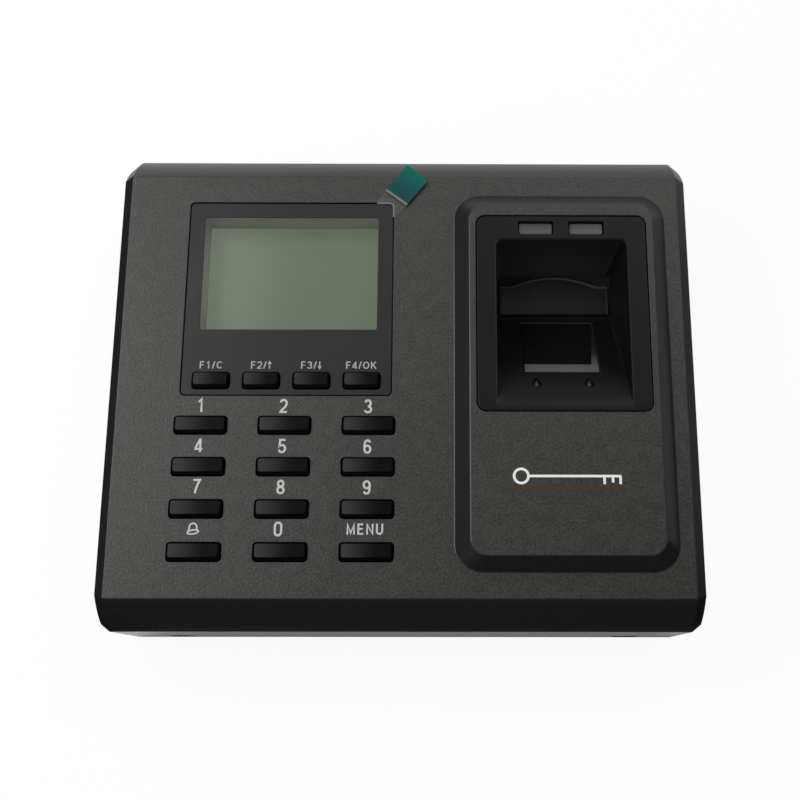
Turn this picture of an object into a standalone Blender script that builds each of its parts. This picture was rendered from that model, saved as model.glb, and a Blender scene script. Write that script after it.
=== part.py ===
"""Wall terminal with a display, a keypad and a fingerprint scanner.

The unit lies on the wall face of its mounting plate. X runs to the right of the face, Y to its top
and Z out of the wall. Lengths are in metres and angles in degrees.
"""
import math

import bmesh
import bpy

# Clearances and walls
FIT_GAP = 0.0003
WALL = 0.0025
FACE_WALL = 0.0030
REAR_WALL = 0.0030

# Outer shape of the front cover
SIDE_BEVEL_RUN = 0.0028
SIDE_BEVEL_DEPTH = 0.0021
CHAMFER_RUN = 0.0094
CHAMFER_HEIGHT = 0.0097
RIM_SETBACK = 0.0005
RIM_DRAFT = 0.0010

# Display panel
FACE_LEFT_MARGIN = 0.0180
WINDOW_WIDTH = 0.0551
WINDOW_HEIGHT = 0.0373
WINDOW_CORNER = 0.0006
WINDOW_THICKNESS = 0.0012
WINDOW_SETBACK = 0.0003
WINDOW_DEPTH = 0.0095
PANEL_SIDE_BORDER = 0.0047
PANEL_TOP_BORDER = 0.0048
PANEL_KEY_BAND = 0.0210
PANEL_TOP_MARGIN = 0.0093
PANEL_THICKNESS = 0.0016
PANEL_SETBACK = 0.0002
PANEL_LEDGE = 0.0012
PANEL_CORNER = 0.0012
COLLAR_WALL = 0.0012
LCD_FRAME = 0.0032
LCD_THICKNESS = 0.0080
LCD_BASE_HEIGHT = 0.0060
LCD_BASE_BORDER = 0.0013

# Keys
KEY_WIDTH = 0.0161
KEY_HEIGHT = 0.0056
KEY_PITCH_X = 0.02555
KEY_PITCH_Y = 0.01278
KEYPAD_TOP_GAP = 0.0096
KEYPAD_BOTTOM_MARGIN = 0.0135
FUNCTION_KEY_HEIGHT = 0.0053
FUNCTION_KEY_SIDE_MARGIN = 0.003325
FUNCTION_KEY_SPACE = 0.00395
FUNCTION_KEY_CLEAR = 0.00065
KEY_RISE = 0.0012
KEY_EDGE = 0.0005
KEY_CORNER = 0.0014
KEY_EAR = 0.0010
KEY_FLANGE = 0.0008
KEY_FOOT = 0.0006
KEY_FOOT_INSET = 0.0008
KEY_TRAVEL = 0.0008
KEY_STOP_GAP = 0.0002
KEY_NAMES = (
    ("key_1", "key_2", "key_3"),
    ("key_4", "key_5", "key_6"),
    ("key_7", "key_8", "key_9"),
    ("key_bell", "key_0", "key_menu"),
)
FUNCTION_KEY_NAMES = ("function_key_1", "function_key_2", "function_key_3", "function_key_4")
MAT_MARGIN = 0.0012
MAT_THICKNESS = 0.0015

# Protective film and its pull tab
FILM_THICKNESS = 0.0002
FILM_BORDER = 0.0030
FILM_CORNER_CUT = 0.0070
TAB_LENGTH = 0.0210
TAB_WIDTH = 0.0087
TAB_ANGLE = 50.0

# Raised pad and scanner
MIDDLE_GAP = 0.0181
FACE_RIGHT_MARGIN = 0.0044
PAD_HEIGHT = 0.0042
PAD_BEVEL = 0.0047
PAD_FLAT = 0.0023
PAD_TOP_FLAT = 0.0040
PAD_TOP_MARGIN = 0.0065
PAD_BOTTOM_MARGIN = 0.0076
PAD_CORNER = 0.0084
PAD_TOP_CORNER = 0.0050
BEZEL_SIDE_RIM = 0.00635
BEZEL_TOP_RIM = 0.0079
BEZEL_LOWER_RIM = 0.0034
BEZEL_CORNER = 0.0021
BEZEL_EDGE = 0.0003
BEZEL_FLANGE = 0.0020
BEZEL_FLANGE_REACH = 0.0030
BEZEL_FLOOR = 0.0025
RECESS_WIDTH = 0.0404
RECESS_FLARE = 0.0003
RECESS_SIDE_DRAFT = 0.0016
RECESS_END_DRAFT = 0.0030
RAMP_ANGLE = 37.0
RAMP_LEAD = 0.0136
RAMP_TAIL = 0.0010
SENSOR_WIDTH = 0.0232
SENSOR_LENGTH = 0.0267
GLASS_SETBACK = 0.0008
RAMP_FLOOR = 0.0022
PRISM_RIM = 0.0022
PRISM_FOOT = 0.0030
STOP_GAP = 0.0018
STOP_LENGTH = 0.0097
STOP_WIDTH = 0.0359
STOP_HEIGHT = 0.0014
STOP_ARCH_WIDTH = 0.0275
STOP_ARCH_RISE = 0.0032
STOP_BACK_GAP = 0.0010
LED_WIDTH = 0.0105
LED_HEIGHT = 0.0041
LED_SPACING = 0.0159
LED_DROP = 0.0021
LED_SETBACK = 0.0004

# Boards and what they carry
BOARD_THICKNESS = 0.0016
BOARD_STANDOFF = 0.0100
BOARD_HEADROOM = 0.0078
MAIN_BOARD_WIDTH = 0.0800
MAIN_BOARD_HEIGHT = 0.1000
BOARD_HOLE_INSET = 0.0040
STANDOFF_RADIUS = 0.0030
POST_RADIUS = 0.0025
POST_CLEAR = 0.0007
POST_END_INSET = 0.0060
SENSOR_BOARD_STANDOFF = 0.0030
SENSOR_BOARD_MARGIN = 0.0060
CAMERA_RADIUS = 0.0065
CAMERA_BARREL_RADIUS = 0.0045
CAMERA_BASE_HEIGHT = 0.0045
LED_BOARD_MARGIN = 0.0020
COIN_RADIUS = 0.0100
COIN_HEIGHT = 0.0032
COIN_EDGE = 0.0008
COIN_INSET_X = 0.0200
COIN_INSET_Y = 0.0200
RELAY_WIDTH = 0.0190
RELAY_LENGTH = 0.0150
RELAY_HEIGHT = 0.0100
RELAY_INSET_X = 0.0220
RELAY_INSET_Y = 0.0200
RIBBON_WIDTH = 0.0200
RIBBON_FOOT = 0.0060
RIBBON_THICKNESS = 0.0005
SPEAKER_RADIUS = 0.0140
SPEAKER_HEIGHT = 0.0070
SPEAKER_MAGNET_RADIUS = 0.0080
SPEAKER_FRAME_HEIGHT = 0.0030
SPEAKER_EDGE_MARGIN = 0.0040
GRILLE_SLOT = 0.0016
GRILLE_LENGTH = 0.0160
GRILLE_PITCH = 0.0036
GRILLE_SLOTS = 5
SWITCH_WIDTH = 0.0090
SWITCH_LENGTH = 0.0070
SWITCH_HEIGHT = 0.0060
SWITCH_INSET = 0.0140
PLUNGER_RADIUS = 0.0011
PLUNGER_SEAT = 0.0020
PLUNGER_TRAVEL = 0.0012

# Sockets for the cables from the wall
BAY_HEIGHT = 0.0300
BAY_MARGIN = 0.0020
SOCKET_SPACING = 0.0030
JACK_WIDTH = 0.0160
JACK_DEPTH = 0.0140
JACK_PORT_WIDTH = 0.0118
JACK_PORT_DEPTH = 0.0084
JACK_PORT_LENGTH = 0.0105
LATCH_WIDTH = 0.0062
LATCH_DEPTH = 0.0016
TERMINAL_DEPTH = 0.0080
TERMINAL_PITCH = 0.0038
TERMINAL_WAYS = 4
TERMINAL_END = 0.0006
WIRE_HOLE = 0.0024
WIRE_HOLE_LENGTH = 0.0060

# Screws
CASE_BOSS_INSET_X = 0.0080
CASE_BOSS_INSET_Y = 0.0124
CASE_BOSS_RADIUS = 0.0035
CASE_SCREW_RADIUS = 0.0014
CASE_SCREW_LENGTH = 0.0140
CASE_HEAD_RADIUS = 0.0027
CASE_HEAD_HEIGHT = 0.0015
SCREW_RADIUS = 0.0011
SCREW_LENGTH = 0.0055
SCREW_HEAD_RADIUS = 0.0023
SCREW_HEAD_HEIGHT = 0.0014
DRIVE_DEPTH = 0.0008
DRIVE_WALL = 0.0014
LOCK_SCREW_INSET = 0.0187
LOCK_SCREW_RISE = 0.0050
LOCK_POCKET_WIDTH = 0.0085
LOCK_POCKET_TOP = 0.0100
LOCK_POCKET_DEPTH = 0.0016
LOCK_HEAD_RADIUS = 0.0028
LOCK_HEAD_HEIGHT = 0.0011
LOCK_TAIL = 0.0030

# Wall plate
PLATE_THICKNESS = 0.0015
PLATE_TOP = 0.0500
PLATE_BOTTOM = 0.0450
PLATE_LEG_WIDTH = 0.0100
PLATE_TAB_HEIGHT = 0.0090
PLATE_OPENING_MARGIN = 0.0040
WALL_HOLE_RADIUS = 0.00225
WALL_HOLE_SPACING_X = 0.1200
WALL_HOLE_SPACING_Y = 0.0720
HOOK_SPACING = 0.1000
HOOK_WIDTH = 0.0120
HOOK_REACH = 0.0080
HOOK_INSET = 0.0040
HOOK_SLIDE_GAP = 0.0010

# Facets of round shapes, and how far a cutter runs past a face
CORNER_STEPS = 4
KEY_CORNER_STEPS = 2
ROUND_SIDES = 16
OVERCUT = 0.0010


class Rect:
    """A rectangle in a plane, with the outlines and neighbours that pieces take from it."""

    def __init__(self, x0, x1, y0, y1):
        self.x0 = x0
        self.x1 = x1
        self.y0 = y0
        self.y1 = y1

    @classmethod
    def centred(cls, x, y, width, height):
        return cls(x - width / 2, x + width / 2, y - height / 2, y + height / 2)

    @property
    def centre(self):
        return (self.x0 + self.x1) / 2, (self.y0 + self.y1) / 2

    def grow(self, along_x, along_y=None):
        along_y = along_x if along_y is None else along_y
        return Rect(self.x0 - along_x, self.x1 + along_x, self.y0 - along_y, self.y1 + along_y)

    def corners(self):
        return [(self.x0, self.y0), (self.x1, self.y0), (self.x1, self.y1), (self.x0, self.y1)]

    def outline(self, radius, steps=CORNER_STEPS):
        """The outline with round corners, counter-clockwise."""
        centres = (
            (self.x1 - radius, self.y1 - radius),
            (self.x0 + radius, self.y1 - radius),
            (self.x0 + radius, self.y0 + radius),
            (self.x1 - radius, self.y0 + radius),
        )
        points = []
        for quarter, (x, y) in enumerate(centres):
            for step in range(steps + 1):
                turn = (quarter + step / steps) * math.pi / 2
                points.append((x + radius * math.cos(turn), y + radius * math.sin(turn)))
        return points


def level(outline, height, plane="XY"):
    """Put a flat outline into space at a height above its plane."""
    if plane == "XY":
        return [(u, v, height) for u, v in outline]
    if plane == "XZ":
        return [(u, height, v) for u, v in outline]
    return [(height, u, v) for u, v in outline]


def prism(outline, low, high, plane="XY"):
    return [level(outline, low, plane), level(outline, high, plane)]


def turned(profile, centre, plane="XY", sides=ROUND_SIDES):
    """Rings of a turned shape: profile lists (radius, height) along the axis."""
    rings = []
    for radius, height in profile:
        circle = []
        for side in range(sides):
            turn = 2 * math.pi * side / sides
            circle.append((centre[0] + radius * math.cos(turn), centre[1] + radius * math.sin(turn)))
        rings.append(level(circle, height, plane))
    return rings


def arc(centre_x, base_y, width, rise, steps):
    """Points of a low circular arch, from its right foot to its left one."""
    radius = (width * width / 4 + rise * rise) / (2 * rise)
    half = math.asin(min(width / (2 * radius), 1.0))
    points = []
    for step in range(steps + 1):
        turn = half - 2 * half * step / steps
        points.append((centre_x + radius * math.sin(turn), base_y + rise - radius * (1 - math.cos(turn))))
    return points


def solid(name, bodies, origin=(0.0, 0.0, 0.0)):
    """Make one object from closed stacks of rings."""
    shape = bmesh.new()
    for rings in bodies:
        loops = []
        for ring in rings:
            loops.append([shape.verts.new([p - o for p, o in zip(point, origin)]) for point in ring])
        shape.faces.new(loops[0])
        shape.faces.new(loops[-1])
        count = len(loops[0])
        for low, high in zip(loops, loops[1:]):
            for i in range(count):
                j = (i + 1) % count
                shape.faces.new((low[i], low[j], high[j], high[i]))
    bmesh.ops.recalc_face_normals(shape, faces=shape.faces)
    mesh = bpy.data.meshes.new(name)
    shape.to_mesh(mesh)
    shape.free()
    mesh.shade_smooth()
    mesh.set_sharp_from_angle(angle=math.radians(35))
    piece = bpy.data.objects.new(name, mesh)
    piece.location = origin
    bpy.context.collection.objects.link(piece)
    return piece


def tool(name, bodies):
    """A cutter or filler that only shapes other pieces."""
    piece = solid(name, bodies)
    piece.hide_render = True
    piece.display_type = "WIRE"
    return piece


def combine(piece, operation, helper):
    step = piece.modifiers.new(helper.name, "BOOLEAN")
    step.operation = operation
    step.solver = "EXACT"
    step.object = helper


def cut(piece, name, bodies):
    combine(piece, "DIFFERENCE", tool(name, bodies))


def add(piece, name, bodies):
    combine(piece, "UNION", tool(name, bodies))


def paint(piece, colour, roughness, metallic=0.0, alpha=1.0):
    finish = bpy.data.materials.new(piece.name + "_finish")
    finish.use_nodes = True
    shader = finish.node_tree.nodes["Principled BSDF"]
    shader.inputs["Base Color"].default_value = (*colour, 1.0)
    shader.inputs["Roughness"].default_value = roughness
    shader.inputs["Metallic"].default_value = metallic
    shader.inputs["Alpha"].default_value = alpha
    piece.data.materials.append(finish)


BLACK_GRAIN = (0.055, 0.055, 0.055)
BLACK_SMOOTH = (0.020, 0.020, 0.020)
KEY_RUBBER = (0.014, 0.014, 0.014)
BOARD_GREEN = (0.020, 0.110, 0.050)
STEEL = (0.560, 0.570, 0.580)

for leftover in list(bpy.data.objects):
    bpy.data.objects.remove(leftover, do_unlink=True)

# Layout of the face, from the pieces it holds
keypad_width = (len(KEY_NAMES[0]) - 1) * KEY_PITCH_X + KEY_WIDTH
panel_width = WINDOW_WIDTH + 2 * PANEL_SIDE_BORDER
function_row = panel_width - 2 * FUNCTION_KEY_SIDE_MARGIN
function_pitch = (function_row + FUNCTION_KEY_SPACE) / len(FUNCTION_KEY_NAMES)
function_key_width = function_pitch - FUNCTION_KEY_SPACE
panel_height = PANEL_TOP_BORDER + WINDOW_HEIGHT + PANEL_KEY_BAND
block_width = max(keypad_width, panel_width)
slope = math.radians(RAMP_ANGLE)
ramp_length = RAMP_LEAD + SENSOR_LENGTH + RAMP_TAIL
recess_depth = ramp_length * math.sin(slope)
ramp_run = ramp_length * math.cos(slope)
stop_run = STOP_GAP + STOP_LENGTH + STOP_ARCH_RISE + STOP_BACK_GAP
recess_length = ramp_run + stop_run + RECESS_END_DRAFT
bezel_width = RECESS_WIDTH + 2 * BEZEL_SIDE_RIM
bezel_height = BEZEL_LOWER_RIM + recess_length + BEZEL_TOP_RIM
pad_width = bezel_width + 2 * (PAD_FLAT + PAD_BEVEL)
keypad_height = (len(KEY_NAMES) - 1) * KEY_PITCH_Y
face_width = FACE_LEFT_MARGIN + block_width + MIDDLE_GAP + pad_width + FACE_RIGHT_MARGIN
face_height = PANEL_TOP_MARGIN + panel_height + KEYPAD_TOP_GAP + keypad_height + KEYPAD_BOTTOM_MARGIN
face = Rect.centred(0.0, 0.0, face_width, face_height)
body = face.grow(SIDE_BEVEL_RUN, CHAMFER_RUN)
inner = body.grow(-WALL)
block_x = face.x0 + FACE_LEFT_MARGIN + block_width / 2
panel_y1 = face.y1 - PANEL_TOP_MARGIN
panel = Rect.centred(block_x, panel_y1 - panel_height / 2, panel_width, panel_height)
window_y = panel.y1 - PANEL_TOP_BORDER - WINDOW_HEIGHT / 2
window = Rect.centred(block_x, window_y, WINDOW_WIDTH, WINDOW_HEIGHT)
function_y = panel.y0 + PANEL_LEDGE + FUNCTION_KEY_CLEAR + FUNCTION_KEY_HEIGHT / 2
first_row_y = panel.y0 - KEYPAD_TOP_GAP
pad_x = face.x1 - FACE_RIGHT_MARGIN - pad_width / 2
pad_y0 = face.y0 + PAD_BOTTOM_MARGIN
pad_y1 = face.y1 - PAD_TOP_MARGIN
pad = Rect(pad_x - pad_width / 2, pad_x + pad_width / 2, pad_y0, pad_y1)
pad_top = pad.grow(-PAD_BEVEL)
bezel_y1 = pad_top.y1 - PAD_TOP_FLAT
bezel = Rect.centred(pad_x, bezel_y1 - bezel_height / 2, bezel_width, bezel_height)
recess_y0 = bezel.y0 + BEZEL_LOWER_RIM
recess_y1 = recess_y0 + recess_length

# Heights, from the wall outwards
rear_z0 = PLATE_THICKNESS + FIT_GAP
rear_z1 = rear_z0 + REAR_WALL
board_z0 = rear_z1 + BOARD_STANDOFF + FIT_GAP
board_z1 = board_z0 + BOARD_THICKNESS
lcd_z0 = board_z1 + BOARD_HEADROOM
lcd_z1 = lcd_z0 + LCD_THICKNESS
face_z = lcd_z1 + WINDOW_DEPTH
pad_z = face_z + PAD_HEIGHT
under_face_z = face_z - FACE_WALL
panel_z1 = face_z - PANEL_SETBACK
panel_z0 = panel_z1 - PANEL_THICKNESS
flange_z = under_face_z - FIT_GAP
foot_z = flange_z - KEY_FLANGE - KEY_FOOT
mat_z1 = foot_z - KEY_TRAVEL - KEY_STOP_GAP
mat_z0 = mat_z1 - MAT_THICKNESS
keypad_board_z1 = mat_z0 - FIT_GAP
keypad_board_z0 = keypad_board_z1 - BOARD_THICKNESS
bezel_z0 = pad_z - recess_depth - BEZEL_FLOOR

# Screw sizes: shank radius, head radius and head height
BOARD_SCREW = (SCREW_RADIUS, SCREW_HEAD_RADIUS, SCREW_HEAD_HEIGHT)
CASE_SCREW = (CASE_SCREW_RADIUS, CASE_HEAD_RADIUS, CASE_HEAD_HEIGHT)
LOCK_SCREW = (CASE_SCREW_RADIUS, LOCK_HEAD_RADIUS, LOCK_HEAD_HEIGHT)

# Places of the keys, by name
key_places = {}
for row, names in enumerate(KEY_NAMES):
    for column, name in enumerate(names):
        x = block_x + (column - (len(names) - 1) / 2) * KEY_PITCH_X
        key_places[name] = Rect.centred(x, first_row_y - row * KEY_PITCH_Y, KEY_WIDTH, KEY_HEIGHT)
function_places = {}
for column, name in enumerate(FUNCTION_KEY_NAMES):
    x = block_x + (column - (len(FUNCTION_KEY_NAMES) - 1) / 2) * function_pitch
    function_places[name] = Rect.centred(x, function_y, function_key_width, FUNCTION_KEY_HEIGHT)

# Keypad mat and board, with posts beside the mat
last_row_y = first_row_y - keypad_height
mat_half = max(keypad_width, function_row) / 2 + KEY_EAR + MAT_MARGIN
mat_y1 = function_y + FUNCTION_KEY_HEIGHT / 2 + KEY_EAR + MAT_MARGIN
mat_y0 = last_row_y - KEY_HEIGHT / 2 - KEY_EAR - MAT_MARGIN
mat = Rect(block_x - mat_half, block_x + mat_half, mat_y0, mat_y1)
post_offset = POST_CLEAR + POST_RADIUS
keypad_board_rect = mat.grow(post_offset + POST_RADIUS, 0.0)
post_places = mat.grow(post_offset, -POST_END_INSET).corners()
case_places = body.grow(-CASE_BOSS_INSET_X, -CASE_BOSS_INSET_Y).corners()
lock_x = body.x1 - LOCK_SCREW_INSET
lock_places = {"left": -lock_x, "right": lock_x}


def cover_profile(inset, roof_inset, rim_z, draft=0.0):
    """The cover's YZ section, set in from its walls and its face, with walls that lean out to the rim."""
    chamfer = math.hypot(CHAMFER_RUN, CHAMFER_HEIGHT)
    wall_y = body.y1 - inset
    knee_z = face_z - CHAMFER_HEIGHT - inset * (chamfer - CHAMFER_HEIGHT) / CHAMFER_RUN
    roof_y = face.y1 + (CHAMFER_RUN * roof_inset - inset * chamfer) / CHAMFER_HEIGHT
    half = [(wall_y + draft, rim_z), (wall_y, knee_z), (roof_y, face_z - roof_inset)]
    return half + [(-y, z) for y, z in reversed(half)]


def front_cover():
    """Deep shell with chamfered ends, bevelled sides and the raised pad, open at the back."""
    section = cover_profile(0.0, 0.0, RIM_SETBACK, RIM_DRAFT)
    end_section = cover_profile(SIDE_BEVEL_DEPTH, SIDE_BEVEL_DEPTH, RIM_SETBACK, RIM_DRAFT)
    piece = solid("front_cover", [[
        level(end_section, body.x0, "YZ"),
        level(section, face.x0, "YZ"),
        level(section, face.x1, "YZ"),
        level(end_section, body.x1, "YZ"),
    ]])
    paint(piece, BLACK_GRAIN, 0.55)
    add(piece, "pad_form", [[
        level(pad.outline(PAD_CORNER), face_z - FACE_WALL / 2),
        level(pad.outline(PAD_CORNER), face_z),
        level(pad_top.outline(PAD_TOP_CORNER), pad_z),
    ]])
    hollow = cover_profile(WALL, FACE_WALL, RIM_SETBACK - OVERCUT)
    cut(piece, "cover_hollow", [prism(hollow, inner.x0, inner.x1, "YZ")])
    bosses = []
    boss_holes = []
    roof_z = under_face_z + FACE_WALL / 4
    boss_z = rear_z1 + FIT_GAP
    for place in case_places:
        bosses.append(turned([(CASE_BOSS_RADIUS, boss_z), (CASE_BOSS_RADIUS, roof_z)], place))
        bore = CASE_SCREW_RADIUS + FIT_GAP
        tip_z = rear_z0 + CASE_HEAD_HEIGHT + CASE_SCREW_LENGTH + FIT_GAP
        boss_holes.append(turned([(bore, boss_z - OVERCUT), (bore, tip_z)], place))
    post_z = keypad_board_z1 + FIT_GAP
    for place in post_places:
        bosses.append(turned([(POST_RADIUS, post_z), (POST_RADIUS, roof_z)], place))
        bore = SCREW_RADIUS + FIT_GAP
        tip_z = min(keypad_board_z0 + SCREW_LENGTH, under_face_z)
        boss_holes.append(turned([(bore, post_z - OVERCUT), (bore, tip_z)], place))
    add(piece, "cover_bosses", bosses)
    cut(piece, "cover_boss_holes", boss_holes)
    pocket_z = panel_z0 - FIT_GAP
    pocket = panel.grow(FIT_GAP).outline(PANEL_CORNER + FIT_GAP)
    cut(piece, "panel_pocket", [prism(pocket, pocket_z, face_z + OVERCUT)])
    ledge = panel.grow(-PANEL_LEDGE).outline(PANEL_CORNER)
    cut(piece, "panel_opening", [prism(ledge, under_face_z - OVERCUT, pocket_z + OVERCUT)])
    slots = []
    for place in key_places.values():
        slot = place.grow(FIT_GAP).outline(KEY_CORNER + FIT_GAP, KEY_CORNER_STEPS)
        slots.append(prism(slot, under_face_z - OVERCUT, face_z + OVERCUT))
    cut(piece, "key_slots", slots)
    opening = bezel.grow(FIT_GAP).outline(BEZEL_CORNER + FIT_GAP)
    cut(piece, "scanner_opening", [prism(opening, under_face_z - OVERCUT, pad_z + OVERCUT)])
    pockets = []
    throats = []
    outside_y = body.y0 - RIM_DRAFT - OVERCUT
    for x in lock_places.values():
        side = LOCK_POCKET_WIDTH / 2
        arch = arc(x, LOCK_POCKET_TOP - side, LOCK_POCKET_WIDTH, side, ROUND_SIDES // 2)
        outline = [(x - side, RIM_SETBACK - OVERCUT), (x + side, RIM_SETBACK - OVERCUT)] + arch
        pockets.append(prism(outline, outside_y, body.y0 + LOCK_POCKET_DEPTH, "XZ"))
        throat = CASE_SCREW_RADIUS + FIT_GAP
        slot = Rect(x - throat, x + throat, RIM_SETBACK - OVERCUT, LOCK_SCREW_RISE + throat)
        throats.append(prism(slot.corners(), outside_y, inner.y0 + OVERCUT, "XZ"))
    cut(piece, "lock_pockets", pockets)
    cut(piece, "lock_throats", throats)


def display():
    """Panel with its window collar, the clear window, the display and the film over it."""
    piece = solid("display_panel", [prism(panel.outline(PANEL_CORNER), panel_z0, panel_z1)])
    paint(piece, (0.032, 0.034, 0.036), 0.30)
    collar = window.grow(COLLAR_WALL).outline(WINDOW_CORNER + COLLAR_WALL)
    add(piece, "window_collar", [prism(collar, lcd_z1 + FIT_GAP, panel_z0 + PANEL_THICKNESS / 2)])
    opening = window.outline(WINDOW_CORNER)
    cut(piece, "window_opening", [prism(opening, lcd_z1 + FIT_GAP - OVERCUT, panel_z1 + OVERCUT)])
    slots = []
    for place in function_places.values():
        slot = place.grow(FIT_GAP).outline(KEY_CORNER + FIT_GAP, KEY_CORNER_STEPS)
        slots.append(prism(slot, panel_z0 - OVERCUT, panel_z1 + OVERCUT))
    cut(piece, "function_key_slots", slots)
    glass_z1 = panel_z1 - WINDOW_SETBACK
    glass = window.grow(-FIT_GAP).outline(WINDOW_CORNER)
    piece = solid("display_window", [prism(glass, glass_z1 - WINDOW_THICKNESS, glass_z1)])
    paint(piece, (0.80, 0.84, 0.82), 0.05, 0.0, 0.15)
    frame = window.grow(LCD_FRAME)
    base = frame.grow(LCD_BASE_BORDER)
    piece = solid("lcd_module", [[
        level(base.outline(WINDOW_CORNER), lcd_z0),
        level(base.outline(WINDOW_CORNER), lcd_z0 + LCD_BASE_HEIGHT),
        level(frame.outline(WINDOW_CORNER), lcd_z0 + LCD_BASE_HEIGHT),
        level(frame.outline(WINDOW_CORNER), lcd_z1),
    ]])
    paint(piece, (0.150, 0.180, 0.140), 0.35)


def protective_film():
    """Clear film over the window; its pull tab leaves the panel's upper right corner."""
    sheet = window.grow(FILM_BORDER)
    lean = math.radians(TAB_ANGLE)
    along = (math.cos(lean), math.sin(lean))
    across = (-along[1] * TAB_WIDTH / 2, along[0] * TAB_WIDTH / 2)
    root = (sheet.x1 - FILM_CORNER_CUT / 2, sheet.y1 - FILM_CORNER_CUT / 2)
    tip = (root[0] + along[0] * TAB_LENGTH, root[1] + along[1] * TAB_LENGTH)
    outline = [
        (sheet.x0, sheet.y0),
        (sheet.x1, sheet.y0),
        (sheet.x1, sheet.y1 - FILM_CORNER_CUT),
        (tip[0] - across[0], tip[1] - across[1]),
        (tip[0] + across[0], tip[1] + across[1]),
        (sheet.x1 - FILM_CORNER_CUT, sheet.y1),
        (sheet.x0, sheet.y1),
    ]
    film_z = face_z + FIT_GAP
    piece = solid("protective_film", [prism(outline, film_z, film_z + FILM_THICKNESS)])
    paint(piece, (0.60, 0.70, 0.68), 0.10, 0.0, 0.20)


def key(name, place, cap_flange_z):
    """A key that drops through its slot until its foot reaches the mat."""
    def ring(rect, z):
        return level(rect.outline(KEY_CORNER, KEY_CORNER_STEPS), z)

    foot = place.grow(-KEY_FOOT_INSET)
    ears = place.grow(KEY_EAR, 0.0)
    top_z = face_z + KEY_RISE
    rings = [
        ring(foot, foot_z),
        ring(foot, cap_flange_z - KEY_FLANGE),
        ring(ears, cap_flange_z - KEY_FLANGE),
        ring(ears, cap_flange_z),
        ring(place, cap_flange_z),
        ring(place, top_z - KEY_EDGE),
        ring(place.grow(-KEY_EDGE), top_z),
    ]
    piece = solid(name, [rings], (*place.centre, face_z))
    paint(piece, KEY_RUBBER, 0.45)


def keypad():
    """All keys, the mat under them and the board with its screws."""
    for name, place in key_places.items():
        key(name, place, flange_z)
    for name, place in function_places.items():
        key(name, place, panel_z0 - FIT_GAP)
    piece = solid("keypad_mat", [prism(mat.corners(), mat_z0, mat_z1)])
    paint(piece, (0.30, 0.30, 0.30), 0.60)
    piece = solid("keypad_board", [prism(keypad_board_rect.corners(), keypad_board_z0, keypad_board_z1)])
    paint(piece, BOARD_GREEN, 0.40)
    bore = SCREW_RADIUS + FIT_GAP
    holes = []
    for number, place in enumerate(post_places, 1):
        holes.append(turned([(bore, keypad_board_z0 - OVERCUT), (bore, keypad_board_z1 + OVERCUT)], place))
        head_z = keypad_board_z0 - FIT_GAP
        tip_z = min(keypad_board_z0 + SCREW_LENGTH, under_face_z) - FIT_GAP
        screw(f"keypad_screw_{number}", place, "XY", (head_z, tip_z), BOARD_SCREW)
    cut(piece, "keypad_board_holes", holes)


def screw(name, place, plane, span, kind):
    """A screw along its span, from its head's seat to its tip, with a round drive socket."""
    seat, tip = span
    radius, head_radius, head_height = kind
    way = 1.0 if tip > seat else -1.0
    crown = seat - way * head_height
    drive = head_radius - DRIVE_WALL
    rings = turned([
        (drive, crown + way * DRIVE_DEPTH),
        (drive, crown),
        (head_radius, crown),
        (head_radius, seat),
        (radius, seat),
        (radius, tip),
    ], place, plane)
    piece = solid(name, [rings])
    paint(piece, STEEL, 0.35, 1.0)


def ramp_point(along, below):
    """A point of the recess's YZ section: along the ramp, and square below its surface."""
    y = recess_y0 + along * math.cos(slope) - below * math.sin(slope)
    z = pad_z - along * math.sin(slope) - below * math.cos(slope)
    return y, z


def ramp_height(y, below):
    """Height of the line that runs square below the ramp's surface, at y."""
    start_y, start_z = ramp_point(0.0, below)
    return start_z - (y - start_y) * math.tan(slope)


def recess_ring(z):
    """The finger recess at a height: it narrows with depth and flares towards its lower end."""
    share = (pad_z - z) / recess_depth
    low_y = recess_y0 + share * ramp_run
    high_y = recess_y1 - share * RECESS_END_DRAFT
    half = RECESS_WIDTH / 2 - share * RECESS_SIDE_DRAFT
    low_half = half + RECESS_FLARE
    high_half = half - RECESS_FLARE
    return level([
        (pad_x - low_half, low_y),
        (pad_x + low_half, low_y),
        (pad_x + high_half, high_y),
        (pad_x - high_half, high_y),
    ], z)


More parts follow.
